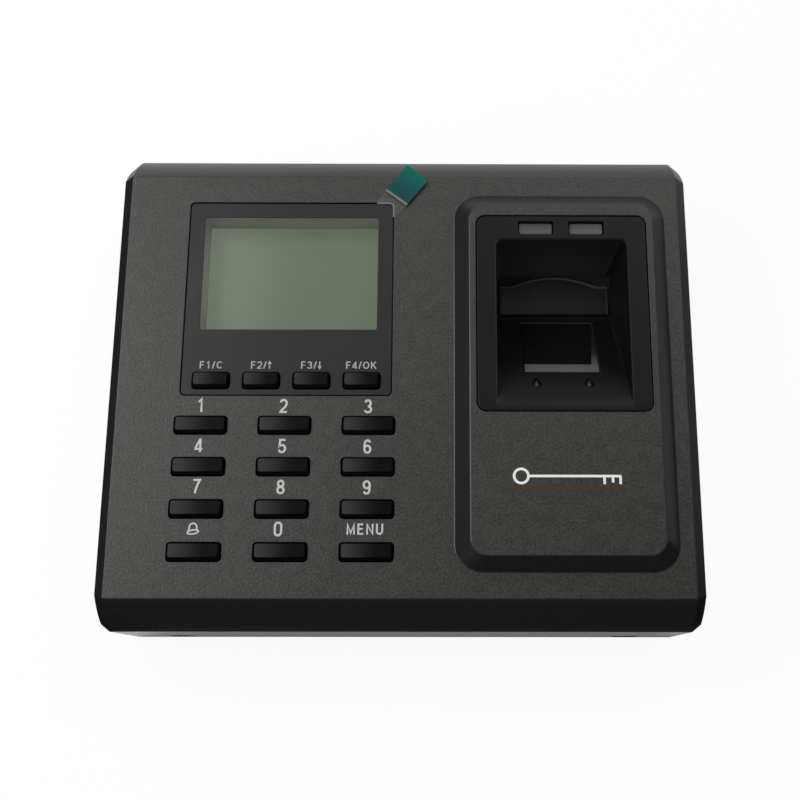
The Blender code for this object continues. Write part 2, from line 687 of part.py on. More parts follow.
def scanner():
    """Bezel with the sloped finger recess, light windows, fingertip stop and sensor prism."""
    flange = bezel.grow(BEZEL_FLANGE_REACH)

    def ring(rect, z):
        return level(rect.outline(BEZEL_CORNER), z)

    piece = solid("scanner_bezel", [[
        ring(bezel, bezel_z0),
        ring(bezel, flange_z - BEZEL_FLANGE),
        ring(flange, flange_z - BEZEL_FLANGE),
        ring(flange, flange_z),
        ring(bezel, flange_z),
        ring(bezel, pad_z - BEZEL_EDGE),
        ring(bezel.grow(-BEZEL_EDGE), pad_z),
    ]])
    paint(piece, BLACK_SMOOTH, 0.35)
    floor_z = pad_z - recess_depth
    cut(piece, "finger_recess", [[recess_ring(floor_z), recess_ring(pad_z + OVERCUT)]])
    pocket_half = SENSOR_WIDTH / 2 + PRISM_RIM + FIT_GAP
    pocket_y0 = ramp_point(RAMP_LEAD - PRISM_RIM - FIT_GAP, RAMP_FLOOR)[0]
    pocket_y1 = ramp_point(ramp_length, RAMP_FLOOR)[0]
    pocket = [
        (pocket_y0, ramp_height(pocket_y0, RAMP_FLOOR)),
        (pocket_y0, bezel_z0 - OVERCUT),
        (pocket_y1, bezel_z0 - OVERCUT),
        (pocket_y1, ramp_height(pocket_y1, RAMP_FLOOR)),
    ]
    cut(piece, "prism_pocket", [prism(pocket, pad_x - pocket_half, pad_x + pocket_half, "YZ")])
    mouth = [
        ramp_point(RAMP_LEAD, -OVERCUT),
        ramp_point(RAMP_LEAD + SENSOR_LENGTH, -OVERCUT),
        ramp_point(RAMP_LEAD + SENSOR_LENGTH, RAMP_FLOOR + OVERCUT),
        ramp_point(RAMP_LEAD, RAMP_FLOOR + OVERCUT),
    ]
    sensor_half = SENSOR_WIDTH / 2
    cut(piece, "sensor_mouth", [prism(mouth, pad_x - sensor_half, pad_x + sensor_half, "YZ")])
    led_y = bezel.y1 - LED_DROP - LED_HEIGHT / 2
    led_slots = []
    for name, side in (("led_window_left", -1), ("led_window_right", 1)):
        place = Rect.centred(pad_x + side * LED_SPACING / 2, led_y, LED_WIDTH, LED_HEIGHT)
        led_slots.append(prism(place.grow(FIT_GAP).corners(), bezel_z0 - OVERCUT, pad_z + OVERCUT))
        guide = solid(name, [prism(place.corners(), bezel_z0, pad_z - LED_SETBACK)])
        paint(guide, (0.35, 0.35, 0.34), 0.30)
    cut(piece, "led_slots", led_slots)
    board_width = LED_SPACING + LED_WIDTH + 2 * LED_BOARD_MARGIN
    board = Rect.centred(pad_x, led_y, board_width, LED_HEIGHT + 2 * LED_BOARD_MARGIN)
    board_top = bezel_z0 - FIT_GAP
    piece = solid("led_board", [prism(board.corners(), board_top - BOARD_THICKNESS, board_top)])
    paint(piece, BOARD_GREEN, 0.40)
    stop_y0 = recess_y0 + ramp_run + STOP_GAP
    stop_y1 = stop_y0 + STOP_LENGTH
    half = STOP_WIDTH / 2
    arch = arc(pad_x, stop_y1, STOP_ARCH_WIDTH, STOP_ARCH_RISE, ROUND_SIDES)
    outline = [(pad_x - half, stop_y0), (pad_x + half, stop_y0), (pad_x + half, stop_y1)]
    outline += arch + [(pad_x - half, stop_y1)]
    piece = solid("fingertip_stop", [prism(outline, floor_z + FIT_GAP, floor_z + STOP_HEIGHT)])
    paint(piece, BLACK_SMOOTH, 0.40)
    top = RAMP_FLOOR + FIT_GAP
    prism_y0 = pocket_y0 + FIT_GAP
    prism_y1 = pocket_y1 - FIT_GAP
    prism_z0 = ramp_height(prism_y1, top) - PRISM_FOOT
    wedge = [
        (prism_y0, ramp_height(prism_y0, top)),
        (prism_y0, prism_z0),
        (prism_y1, prism_z0),
        (prism_y1, ramp_height(prism_y1, top)),
    ]
    wedge_half = pocket_half - FIT_GAP
    piece = solid("sensor_prism", [prism(wedge, pad_x - wedge_half, pad_x + wedge_half, "YZ")])
    paint(piece, (0.010, 0.011, 0.012), 0.08)
    table = [
        ramp_point(RAMP_LEAD + FIT_GAP, GLASS_SETBACK),
        ramp_point(RAMP_LEAD + SENSOR_LENGTH - FIT_GAP, GLASS_SETBACK),
        ramp_point(RAMP_LEAD + SENSOR_LENGTH - FIT_GAP, top + OVERCUT),
        ramp_point(RAMP_LEAD + FIT_GAP, top + OVERCUT),
    ]
    table_half = sensor_half - FIT_GAP
    add(piece, "prism_table", [prism(table, pad_x - table_half, pad_x + table_half, "YZ")])
    sensor_y = (prism_y0 + prism_y1) / 2
    sensor_z0 = rear_z1 + SENSOR_BOARD_STANDOFF + FIT_GAP
    sensor_z1 = sensor_z0 + BOARD_THICKNESS
    side = (prism_y1 - prism_y0) + 2 * SENSOR_BOARD_MARGIN
    board = Rect.centred(pad_x, sensor_y, 2 * wedge_half + 2 * SENSOR_BOARD_MARGIN, side)
    piece = solid("sensor_board", [prism(board.corners(), sensor_z0, sensor_z1)])
    paint(piece, BOARD_GREEN, 0.40)
    base_z = sensor_z1 + FIT_GAP
    piece = solid("sensor_camera", [turned([
        (CAMERA_RADIUS, base_z),
        (CAMERA_RADIUS, base_z + CAMERA_BASE_HEIGHT),
        (CAMERA_BARREL_RADIUS, base_z + CAMERA_BASE_HEIGHT),
        (CAMERA_BARREL_RADIUS, prism_z0 - FIT_GAP),
    ], (pad_x, sensor_y))])
    paint(piece, BLACK_SMOOTH, 0.50)
    return board


def socket_places():
    """X places of the two terminals and the jack, side by side about the block's centre."""
    terminal_width = TERMINAL_WAYS * TERMINAL_PITCH + 2 * TERMINAL_END
    row = 2 * terminal_width + JACK_WIDTH + 2 * SOCKET_SPACING
    left = block_x - row / 2
    lock_terminal_x = left + terminal_width / 2
    power_terminal_x = lock_terminal_x + terminal_width + SOCKET_SPACING
    jack_x = block_x + row / 2 - JACK_WIDTH / 2
    return lock_terminal_x, power_terminal_x, jack_x, terminal_width, row


def sockets():
    """Jack and screw terminals under the main board, with their mouths towards the wall."""
    lock_x0, power_x0, jack_x, terminal_width, _ = socket_places()
    top_z = board_z0 - FIT_GAP
    body_rect = Rect.centred(jack_x, 0.0, JACK_WIDTH, JACK_DEPTH)
    piece = solid("network_jack", [prism(body_rect.corners(), rear_z0, top_z)])
    paint(piece, (0.20, 0.20, 0.20), 0.40)
    port = Rect.centred(jack_x, 0.0, JACK_PORT_WIDTH, JACK_PORT_DEPTH)
    latch = LATCH_WIDTH / 2
    outline = [
        (port.x0, port.y0),
        (jack_x - latch, port.y0),
        (jack_x - latch, port.y0 - LATCH_DEPTH),
        (jack_x + latch, port.y0 - LATCH_DEPTH),
        (jack_x + latch, port.y0),
        (port.x1, port.y0),
        (port.x1, port.y1),
        (port.x0, port.y1),
    ]
    cut(piece, "jack_port", [prism(outline, rear_z0 - OVERCUT, rear_z0 + JACK_PORT_LENGTH)])
    for name, x in (("lock_terminal", lock_x0), ("power_terminal", power_x0)):
        body_rect = Rect.centred(x, 0.0, terminal_width, TERMINAL_DEPTH)
        piece = solid(name, [prism(body_rect.corners(), rear_z0, top_z)])
        paint(piece, (0.030, 0.220, 0.090), 0.40)
        holes = []
        for way in range(TERMINAL_WAYS):
            hole_x = x + (way - (TERMINAL_WAYS - 1) / 2) * TERMINAL_PITCH
            hole = Rect.centred(hole_x, 0.0, WIRE_HOLE, WIRE_HOLE)
            holes.append(prism(hole.corners(), rear_z0 - OVERCUT, rear_z0 + WIRE_HOLE_LENGTH))
        cut(piece, name + "_holes", holes)


def electronics():
    """Main board with its screws, sockets, cell, relay, ribbon, speaker and tamper switch."""
    board = Rect.centred(block_x, 0.0, MAIN_BOARD_WIDTH, MAIN_BOARD_HEIGHT)
    piece = solid("main_board", [prism(board.corners(), board_z0, board_z1)])
    paint(piece, BOARD_GREEN, 0.40)
    standoffs = board.grow(-BOARD_HOLE_INSET).corners()
    bore = SCREW_RADIUS + FIT_GAP
    holes = []
    for number, place in enumerate(standoffs, 1):
        holes.append(turned([(bore, board_z0 - OVERCUT), (bore, board_z1 + OVERCUT)], place))
        seat = board_z1 + FIT_GAP
        tip = board_z1 - SCREW_LENGTH
        screw(f"board_screw_{number}", place, "XY", (seat, tip), BOARD_SCREW)
    cut(piece, "main_board_holes", holes)
    sockets()
    top_z = board_z1 + FIT_GAP
    cell = (board.x0 + COIN_INSET_X, board.y0 + COIN_INSET_Y)
    piece = solid("coin_cell", [turned([
        (COIN_RADIUS - COIN_EDGE, top_z),
        (COIN_RADIUS, top_z + COIN_EDGE),
        (COIN_RADIUS, top_z + COIN_HEIGHT),
    ], cell)])
    paint(piece, STEEL, 0.25, 1.0)
    relay_place = (board.x1 - RELAY_INSET_X, board.y0 + RELAY_INSET_Y)
    relay = Rect.centred(*relay_place, RELAY_WIDTH, RELAY_LENGTH)
    piece = solid("lock_relay", [prism(relay.corners(), top_z, top_z + RELAY_HEIGHT)])
    paint(piece, (0.020, 0.060, 0.250), 0.35)
    fold_y = keypad_board_rect.y1 - RIBBON_THICKNESS
    start_y = fold_y - RIBBON_FOOT
    upper_z = keypad_board_z0 - FIT_GAP
    ribbon = [
        (start_y, upper_z),
        (start_y, upper_z - RIBBON_THICKNESS),
        (fold_y, upper_z - RIBBON_THICKNESS),
        (fold_y, top_z + RIBBON_THICKNESS),
        (start_y, top_z + RIBBON_THICKNESS),
        (start_y, top_z),
        (fold_y + RIBBON_THICKNESS, top_z),
        (fold_y + RIBBON_THICKNESS, upper_z),
    ]
    half = RIBBON_WIDTH / 2
    piece = solid("ribbon_cable", [prism(ribbon, block_x - half, block_x + half, "YZ")])
    paint(piece, (0.55, 0.55, 0.52), 0.45)
    speaker_place = (pad_x, inner.y0 + SPEAKER_EDGE_MARGIN + SPEAKER_RADIUS)
    frame_z = rear_z1 + FIT_GAP
    piece = solid("speaker", [turned([
        (SPEAKER_RADIUS, frame_z),
        (SPEAKER_RADIUS, frame_z + SPEAKER_FRAME_HEIGHT),
        (SPEAKER_MAGNET_RADIUS, frame_z + SPEAKER_FRAME_HEIGHT),
        (SPEAKER_MAGNET_RADIUS, frame_z + SPEAKER_HEIGHT),
    ], speaker_place)])
    paint(piece, (0.08, 0.08, 0.08), 0.50)
    switch_place = (block_x, board.y1 - SWITCH_INSET)
    switch_rect = Rect.centred(*switch_place, SWITCH_WIDTH, SWITCH_LENGTH)
    switch_z1 = board_z0 - FIT_GAP
    switch_z0 = switch_z1 - SWITCH_HEIGHT
    piece = solid("tamper_switch", [prism(switch_rect.corners(), switch_z0, switch_z1)])
    paint(piece, BLACK_SMOOTH, 0.50)
    bore = PLUNGER_RADIUS + FIT_GAP
    bore_z = switch_z0 + PLUNGER_SEAT + PLUNGER_TRAVEL + FIT_GAP
    cut(piece, "plunger_bore", [turned([(bore, switch_z0 - OVERCUT), (bore, bore_z)], switch_place)])
    plunger_z0 = PLATE_THICKNESS + FIT_GAP
    rings = turned([(PLUNGER_RADIUS, plunger_z0), (PLUNGER_RADIUS, switch_z0 + PLUNGER_SEAT)], switch_place)
    piece = solid("tamper_plunger", [rings], (*switch_place, plunger_z0))
    paint(piece, (0.60, 0.12, 0.08), 0.40)
    return standoffs, speaker_place, switch_place


def rear_cover(standoffs, sensor_rect, speaker_place, switch_place):
    """Flat cover set into the shell's back, with standoffs and the openings to the wall."""
    plate = inner.grow(-FIT_GAP)
    piece = solid("rear_cover", [prism(plate.corners(), rear_z0, rear_z1)])
    paint(piece, (0.035, 0.035, 0.035), 0.55)
    columns = []
    column_holes = []
    root_z = rear_z0 + REAR_WALL / 2
    for place in standoffs:
        top_z = board_z0 - FIT_GAP
        columns.append(turned([(STANDOFF_RADIUS, root_z), (STANDOFF_RADIUS, top_z)], place))
        bore = SCREW_RADIUS + FIT_GAP
        low_z = board_z1 - SCREW_LENGTH - FIT_GAP
        column_holes.append(turned([(bore, low_z), (bore, top_z + OVERCUT)], place))
    for place in sensor_rect.grow(-STANDOFF_RADIUS).corners():
        top_z = rear_z1 + SENSOR_BOARD_STANDOFF
        columns.append(turned([(STANDOFF_RADIUS, root_z), (STANDOFF_RADIUS, top_z)], place))
    add(piece, "standoffs", columns)
    cut(piece, "standoff_holes", column_holes)
    openings = []
    row = socket_places()[4]
    bay = Rect.centred(block_x, 0.0, row + 2 * BAY_MARGIN, BAY_HEIGHT)
    openings.append(prism(bay.outline(BAY_MARGIN), rear_z0 - OVERCUT, rear_z1 + OVERCUT))
    hook_y = PLATE_TOP - HOOK_INSET
    slot_y1 = hook_y + PLATE_THICKNESS + FIT_GAP
    slot_y0 = slot_y1 - HOOK_REACH - HOOK_SLIDE_GAP
    for side in (-1, 1):
        x = side * HOOK_SPACING / 2
        half = HOOK_WIDTH / 2 + HOOK_SLIDE_GAP
        slot = Rect(x - half, x + half, slot_y0, slot_y1)
        openings.append(prism(slot.corners(), rear_z0 - OVERCUT, rear_z1 + OVERCUT))
    notch_y = inner.y0 + 2 * FIT_GAP + PLATE_THICKNESS + LOCK_TAIL + HOOK_SLIDE_GAP
    for x in lock_places.values():
        half = PLATE_LEG_WIDTH / 2 + FIT_GAP
        notch = Rect(x - half, x + half, plate.y0 - OVERCUT, notch_y)
        openings.append(prism(notch.corners(), rear_z0 - OVERCUT, rear_z1 + OVERCUT))
    for place in case_places:
        bore = CASE_SCREW_RADIUS + FIT_GAP
        head = CASE_HEAD_RADIUS + FIT_GAP
        seat_z = rear_z0 + CASE_HEAD_HEIGHT + FIT_GAP
        openings.append(turned([
            (head, rear_z0 - OVERCUT),
            (head, seat_z),
            (bore, seat_z),
            (bore, rear_z1 + OVERCUT),
        ], place))
    for slot_number in range(GRILLE_SLOTS):
        y = speaker_place[1] + (slot_number - (GRILLE_SLOTS - 1) / 2) * GRILLE_PITCH
        slot = Rect.centred(speaker_place[0], y, GRILLE_LENGTH, GRILLE_SLOT)
        openings.append(prism(slot.corners(), rear_z0 - OVERCUT, rear_z1 + OVERCUT))
    bore = PLUNGER_RADIUS + FIT_GAP
    openings.append(turned([(bore, rear_z0 - OVERCUT), (bore, rear_z1 + OVERCUT)], switch_place))
    cut(piece, "rear_openings", openings)
    for number, place in enumerate(case_places, 1):
        seat = rear_z0 + CASE_HEAD_HEIGHT
        tip = seat + CASE_SCREW_LENGTH
        screw(f"case_screw_{number}", place, "XY", (seat, tip), CASE_SCREW)


def mounting_plate():
    """Sheet steel wall plate with two hooks at its top and two lock tabs on its legs."""
    leg = PLATE_LEG_WIDTH / 2
    tab_y = inner.y0 + 2 * FIT_GAP
    outline = [
        (-lock_x - leg, tab_y),
        (-lock_x + leg, tab_y),
        (-lock_x + leg, -PLATE_BOTTOM),
        (lock_x - leg, -PLATE_BOTTOM),
        (lock_x - leg, tab_y),
        (lock_x + leg, tab_y),
        (lock_x + leg, PLATE_TOP),
        (-lock_x - leg, PLATE_TOP),
    ]
    piece = solid("mounting_plate", [prism(outline, 0.0, PLATE_THICKNESS)])
    paint(piece, STEEL, 0.40, 1.0)
    folds = []
    hook_y = PLATE_TOP - HOOK_INSET
    tongue_z = rear_z1 + FIT_GAP
    hook = [
        (hook_y, PLATE_THICKNESS / 2),
        (hook_y + PLATE_THICKNESS, PLATE_THICKNESS / 2),
        (hook_y + PLATE_THICKNESS, tongue_z),
        (hook_y + HOOK_REACH, tongue_z),
        (hook_y + HOOK_REACH, tongue_z + PLATE_THICKNESS),
        (hook_y, tongue_z + PLATE_THICKNESS),
    ]
    for side in (-1, 1):
        x = side * HOOK_SPACING / 2
        folds.append(prism(hook, x - HOOK_WIDTH / 2, x + HOOK_WIDTH / 2, "YZ"))
    add(piece, "plate_hooks", folds)
    tabs = []
    tab_holes = []
    bore = CASE_SCREW_RADIUS + FIT_GAP
    for x in lock_places.values():
        tab = Rect(x - leg, x + leg, tab_y, tab_y + PLATE_THICKNESS)
        tabs.append(prism(tab.corners(), PLATE_THICKNESS / 2, PLATE_TAB_HEIGHT))
        ends = (tab_y - OVERCUT, tab_y + PLATE_THICKNESS + OVERCUT)
        tab_holes.append(turned([(bore, ends[0]), (bore, ends[1])], (x, LOCK_SCREW_RISE), "XZ"))
    add(piece, "plate_tabs", tabs)
    cut(piece, "plate_tab_holes", tab_holes)
    row = socket_places()[4]
    opening_width = row + 2 * (BAY_MARGIN + PLATE_OPENING_MARGIN)
    opening = Rect.centred(block_x, 0.0, opening_width, BAY_HEIGHT + 2 * PLATE_OPENING_MARGIN)
    holes = [prism(opening.outline(PLATE_OPENING_MARGIN), -OVERCUT, PLATE_THICKNESS + OVERCUT)]
    for place in Rect.centred(0.0, 0.0, WALL_HOLE_SPACING_X, WALL_HOLE_SPACING_Y).corners():
        rim = WALL_HOLE_RADIUS
        holes.append(turned([(rim, -OVERCUT), (rim, PLATE_THICKNESS + OVERCUT)], place))
    cut(piece, "plate_openings", holes)
    seat = body.y0 + LOCK_POCKET_DEPTH - FIT_GAP
    tip = tab_y + PLATE_THICKNESS + LOCK_TAIL
    for name, x in lock_places.items():
        place = (x, LOCK_SCREW_RISE)
        screw(f"lock_screw_{name}", place, "XZ", (seat, tip), LOCK_SCREW)


front_cover()
display()
protective_film()
keypad()
sensor_area = scanner()
board_standoffs, speaker_centre, switch_centre = electronics()
rear_cover(board_standoffs, sensor_area, speaker_centre, switch_centre)
mounting_plate()
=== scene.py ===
# %% [markdown]
# # A wall terminal with a fingerprint scanner
#
# The terminal is a black moulded box with a display, sixteen keys and a sloped finger recess over a
# dark sensor glass. Its solids come packed as a fixed frame. This lesson dresses them: it softens
# the moulded edges, gives every piece a finish and adds what solids leave out, such as the printed
# legends, the clear film with its coloured pull tab and the small nibs that guide a finger.

# %% The fixed frame
import math

import bmesh
import bpy
from mathutils import Matrix, Vector


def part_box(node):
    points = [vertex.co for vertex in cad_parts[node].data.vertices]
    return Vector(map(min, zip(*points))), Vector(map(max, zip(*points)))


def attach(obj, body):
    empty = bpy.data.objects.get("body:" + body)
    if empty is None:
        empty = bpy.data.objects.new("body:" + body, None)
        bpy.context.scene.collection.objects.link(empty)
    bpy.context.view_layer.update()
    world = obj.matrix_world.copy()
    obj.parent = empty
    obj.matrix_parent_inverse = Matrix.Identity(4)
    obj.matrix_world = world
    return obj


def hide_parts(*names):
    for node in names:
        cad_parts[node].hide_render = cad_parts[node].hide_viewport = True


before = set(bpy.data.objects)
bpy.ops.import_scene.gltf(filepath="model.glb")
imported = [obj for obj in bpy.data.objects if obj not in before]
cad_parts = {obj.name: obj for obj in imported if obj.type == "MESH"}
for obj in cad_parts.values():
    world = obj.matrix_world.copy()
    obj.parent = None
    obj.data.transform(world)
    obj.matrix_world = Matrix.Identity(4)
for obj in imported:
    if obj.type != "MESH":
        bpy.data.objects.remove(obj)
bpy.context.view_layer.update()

MM = 0.001

# %% [markdown]
# ## The camera
#
# A camera can be pushed about by hand until a picture looks right, or worked out from the straight
# edges of the object. The edges of the face, the keys and the recess were used here. They give the
# place, the tilt and a lens in pixels. The picture was cut a little to one side of the lens's own
# middle, and a small shift of the lens repeats that cut.

# %% Camera
IMAGE_SIZE = 800
FOCAL_PIXELS = 1054.4
CUT_PIXELS = 43.3
SENSOR_WIDTH = 36.0
NEAREST_SEEN = 0.01
camera_place = Vector((10.94, -82.24, 356.12)) * MM
pitch, yaw, roll = 0.2350, 0.0049, 0.0021


def put(name, data):
    """A new object in the scene."""
    made = bpy.data.objects.new(name, data)
    bpy.context.collection.objects.link(made)
    return made


lens = bpy.data.cameras.new("terminal_camera")
lens.sensor_fit = "HORIZONTAL"
lens.sensor_width = SENSOR_WIDTH
lens.lens = FOCAL_PIXELS * SENSOR_WIDTH / IMAGE_SIZE
lens.shift_x = -CUT_PIXELS / IMAGE_SIZE
lens.clip_start = NEAREST_SEEN
camera = put("terminal_camera", lens)
turn = Matrix.Rotation(pitch, 4, "X") @ Matrix.Rotation(-yaw, 4, "Y") @ Matrix.Rotation(roll, 4, "Z")
camera.matrix_world = Matrix.Translation(camera_place) @ turn
bpy.context.scene.camera = camera
bpy.context.scene.view_settings.view_transform = "Standard"
print("lens of", round(lens.lens, 1), "mm")

# %% [markdown]
# ## Shader arithmetic
#
# Finishes are written as sums and products of patterns. A small class stands for one value in a
# node tree. Adding or multiplying such values adds Math nodes, so a formula reads as a formula.

# %% Values in a finish
class Wire:
    """One value in a node tree. Arithmetic on it adds nodes to the tree."""

    def __init__(self, tree, socket=None):
        self.tree = tree
        self.socket = socket

    def node(self, kind, settings=None, sockets=None, out=0):
        """A new node: first its settings, then the values or links of its sockets."""
        made = self.tree.nodes.new(kind)
        for name, value in (settings or {}).items():
            setattr(made, name, value)
        for name, value in (sockets or {}).items():
            if isinstance(value, Wire):
                self.tree.links.new(value.socket, made.inputs[name])
            else:
                made.inputs[name].default_value = value
        return Wire(self.tree, made.outputs[out] if made.outputs else None)

    def out(self, name):
        """Another output of the same node."""
        return Wire(self.tree, self.socket.node.outputs[name])

    def part(self, axis):
        """One of the three numbers of a vector."""
        return self.node("ShaderNodeSeparateXYZ", {}, {0: self}, out=axis)

    def stretched(self, factors):
        """A vector, each of its numbers times a factor."""
        return self.node("ShaderNodeVectorMath", {"operation": "MULTIPLY"}, {0: self, 1: factors})

    def math(self, operation, first, second):
        return self.node("ShaderNodeMath", {"operation": operation}, {0: first, 1: second})

    def __add__(self, other):
        return self.math("ADD", self, other)

    def __radd__(self, other):
        return self.math("ADD", other, self)

    def __sub__(self, other):
        return self.math("SUBTRACT", self, other)

    def __rsub__(self, other):
        return self.math("SUBTRACT", other, self)

    def __mul__(self, other):
        return self.math("MULTIPLY", self, other)

    def __rmul__(self, other):
        return self.math("MULTIPLY", other, self)

    def __abs__(self):
        return self.node("ShaderNodeMath", {"operation": "ABSOLUTE"}, {0: self})

    def larger(self, other):
        return self.math("MAXIMUM", self, other)

    def ease(self, low, high):
        """0 below low, 1 above high, and a soft step between them."""
        return self.node("ShaderNodeMapRange", {"interpolation_type": "SMOOTHSTEP"},
                         {"Value": self, "From Min": low, "From Max": high})

    def blend(self, first, second):
        """The first colour where this value is 0, the second where it is 1."""
        return self.node("ShaderNodeMix", {"data_type": "RGBA"}, {0: self, 6: first, 7: second}, out=2)

    def between(self, first, second):
        """The first shader where this value is 0, the second where it is 1."""
        return self.node("ShaderNodeMixShader", {}, {0: self, 1: first, 2: second})


def colour(red, green=None, blue=None):
    """A linear colour; one number gives a grey."""
    green = red if green is None else green
    blue = red if blue is None else blue
    return (red, green, blue, 1.0)


def toned(tone, share):
    """A darker or paler colour of the same hue."""
    return colour(*[share * part for part in tone])


def new_finish(name):
    """An empty material, and the place on the object that its patterns start from."""
    material = bpy.data.materials.new(name)
    material.use_nodes = True
    material.node_tree.nodes.clear()
    return material, Wire(material.node_tree).node("ShaderNodeTexCoord", out="Object")


def coat(material, shader):
    """End a finish in a shader that is ready."""
    shader.node("ShaderNodeOutputMaterial", {}, {"Surface": shader})
    return material


def close_finish(material, sockets):
    """End a finish in one Principled shader."""
    return coat(material, Wire(material.node_tree).node("ShaderNodeBsdfPrincipled", {}, sockets))


def speckle(place, size, detail=2.0):
    """Noise between 0 and 1 with grains of about this size, in metres."""
    return place.node("ShaderNodeTexNoise", {}, {"Vector": place, "Scale": 1.0 / size, "Detail": detail})


def relief(height, depth, strength):
    return height.node("ShaderNodeBump", {}, {"Height": height, "Distance": depth, "Strength": strength})


print("shader arithmetic is ready")

# %% [markdown]
# ## Floor and light
#
# The terminal lies on a plain white table under soft light. The floor could be lit until it burns
# out, but then the object would be lit too much as well. Instead the lamps stay at a plain level and
# the camera sees the floor partly as paper white, which still keeps the object's soft shadow.

# %% Floor
FLOOR_HALF = 4.0
FLOOR_DROP = 0.0002
PAPER_SHARE = 0.92
ONE_FACE = [(0, 1, 2, 3)]


def at(points, z):
    """Points of a plan, all at one height."""
    return [(x, y, z) for x, y in points]


def rectangle(x0, x1, y0, y1):
    return [(x0, y0), (x1, y0), (x1, y1), (x0, y1)]


def studio_sheet(name, points, faces, material):
    """A sheet of the studio, which is no part of the object."""
    mesh = bpy.data.meshes.new(name)
    mesh.from_pydata(points, [], faces)
    mesh.materials.append(material)
    sheet = put(name, mesh)
    return sheet


def white_paper():
    material, place = new_finish("table_white")
    tone = speckle(place, 0.2)
    paper = place.node("ShaderNodeBsdfDiffuse", {}, {"Color": tone.blend(colour(0.90), colour(0.93))})
    glow = place.node("ShaderNodeEmission", {}, {"Color": colour(1.0), "Strength": 1.0})
    seen = place.node("ShaderNodeLightPath", out="Is Camera Ray")
    return coat(material, (seen * PAPER_SHARE).between(paper, glow))


floor_plan = rectangle(-FLOOR_HALF, FLOOR_HALF, -FLOOR_HALF, FLOOR_HALF)
table = studio_sheet("table", at(floor_plan, 0.0), ONE_FACE, white_paper())
table.location.z = -FLOOR_DROP
print("floor laid")

# %% World and lamps
WORLD_LIGHT = 0.54
LAMP_AIM = Vector((0, 0, 0.03))
world = bpy.data.worlds.new("studio")
bpy.context.scene.world = world
world.use_nodes = True
world.node_tree.nodes.clear()
rays = Wire(world.node_tree).node("ShaderNodeLightPath", out="Is Camera Ray")
shown = rays.larger(rays.out("Is Glossy Ray")).larger(rays.out("Is Transmission Ray"))
light = rays.node("ShaderNodeBackground", {}, {"Color": colour(1.0), "Strength": WORLD_LIGHT})
paper = rays.node("ShaderNodeBackground", {}, {"Color": colour(1.0), "Strength": 1.0})
rays.node("ShaderNodeOutputWorld", {}, {"Surface": shown.between(light, paper)})


def softbox(name, place, size, power):
    lamp = bpy.data.lights.new(name, "AREA")
    lamp.shape = "SQUARE"
    lamp.size = size
    lamp.energy = power
    stand = put(name, lamp)
    stand.location = place
    stand.rotation_euler = (LAMP_AIM - Vector(place)).to_track_quat("-Z", "Y").to_euler()


softbox("left_softbox", (-0.42, 0.14, 0.56), 0.4, 3.0)
softbox("right_softbox", (0.36, 0.48, 0.75), 0.5, 1.7)
print("two softboxes and a pale world")

# %% [markdown]
# ## Sheets for the gloss
#
# Black plastic shows what stands round it. In a studio, sheets of felt and paper about the object
# set where its chamfers turn dark and where they shine. Here they are flat meshes that only
# reflections see, so they leave the shadows and the plain light as they are.

# %% Felt and paper
SCREEN_FOOT = 0.001


def gloss_sheet(name, points, faces, material):
    """A sheet that neither the camera nor the shadows see."""
    sheet = studio_sheet(name, points, faces, material)
    sheet.visible_camera = False
    sheet.visible_shadow = False
    sheet.visible_diffuse = False


def felt_cloth(name, tone):
    material, place = new_finish(name)
    shade = speckle(place, 0.01).blend(colour(0.9 * tone), colour(1.1 * tone))
    return coat(material, place.node("ShaderNodeBsdfDiffuse", {}, {"Color": shade}))


def graded_sheet():
    """White at its left end and at its back edge, black at its right end."""
    material, place = new_finish("graded_sheet")
    dark = place.part("X").ease(-0.58, 0.0) * (1 - place.part("Y").ease(0.25, 0.45))
    shade = dark.blend(colour(1.0), colour(0.0))
    return coat(material, place.node("ShaderNodeEmission", {}, {"Color": shade, "Strength": 1.0}))


felt = felt_cloth("black_felt", 0.003)
screen = [(-0.60, 1.10, 0.32), (-0.60, -0.50, 0.32), (0.55, -0.50, 0.32), (0.55, -0.15, 0.32),
          (0.55, -0.14, 0.18), (0.55, 0.25, 0.18)]
screen_feet = at([corner[:2] for corner in screen], SCREEN_FOOT)
screen_faces = [(i, i + 1, i + 7, i + 6) for i in range(len(screen) - 1)]
gloss_sheet("side_screen", screen_feet + screen, screen_faces, felt)
cloth = [(-0.60, 0.40), (-0.60, -0.60), (0.60, -0.60), (0.60, -0.04), (0.11, -0.04), (0.11, -0.13),
         (-0.10, -0.13), (-0.10, 0.05), (-0.32, 0.40)]
gloss_sheet("table_cloth", at(cloth, 0.0002), [(0, 1, 6, 7, 8), (1, 2, 5, 6), (2, 3, 4, 5)], felt)
back_cloth = at(rectangle(-0.60, 0.60, 0.082, 0.60), 0.0001)
gloss_sheet("back_cloth", back_cloth, ONE_FACE, felt_cloth("grey_felt", 0.62))
gloss_sheet("overhead_sheet", at(rectangle(-0.60, 1.40, -0.80, 0.45), 0.9), ONE_FACE, graded_sheet())
print("four sheets for the gloss")

# %% [markdown]
# ## Finishes of the moulded plastics
#
# The cover is one moulding with two textures: its flat faces are eroded to a fine grain, and its
# chamfers are left smooth. The two could be separate materials on chosen faces. Here height and
# direction of the surface decide, so the border falls on the edge of the face wherever that lies.

# %% Cover plastic
GRAIN_START = (0.0414, 0.0418)


def facing(place, axis):
    """How far the surface faces along an axis, from -1 to 1."""
    return place.node("ShaderNodeNewGeometry", out="True Normal").part(axis)


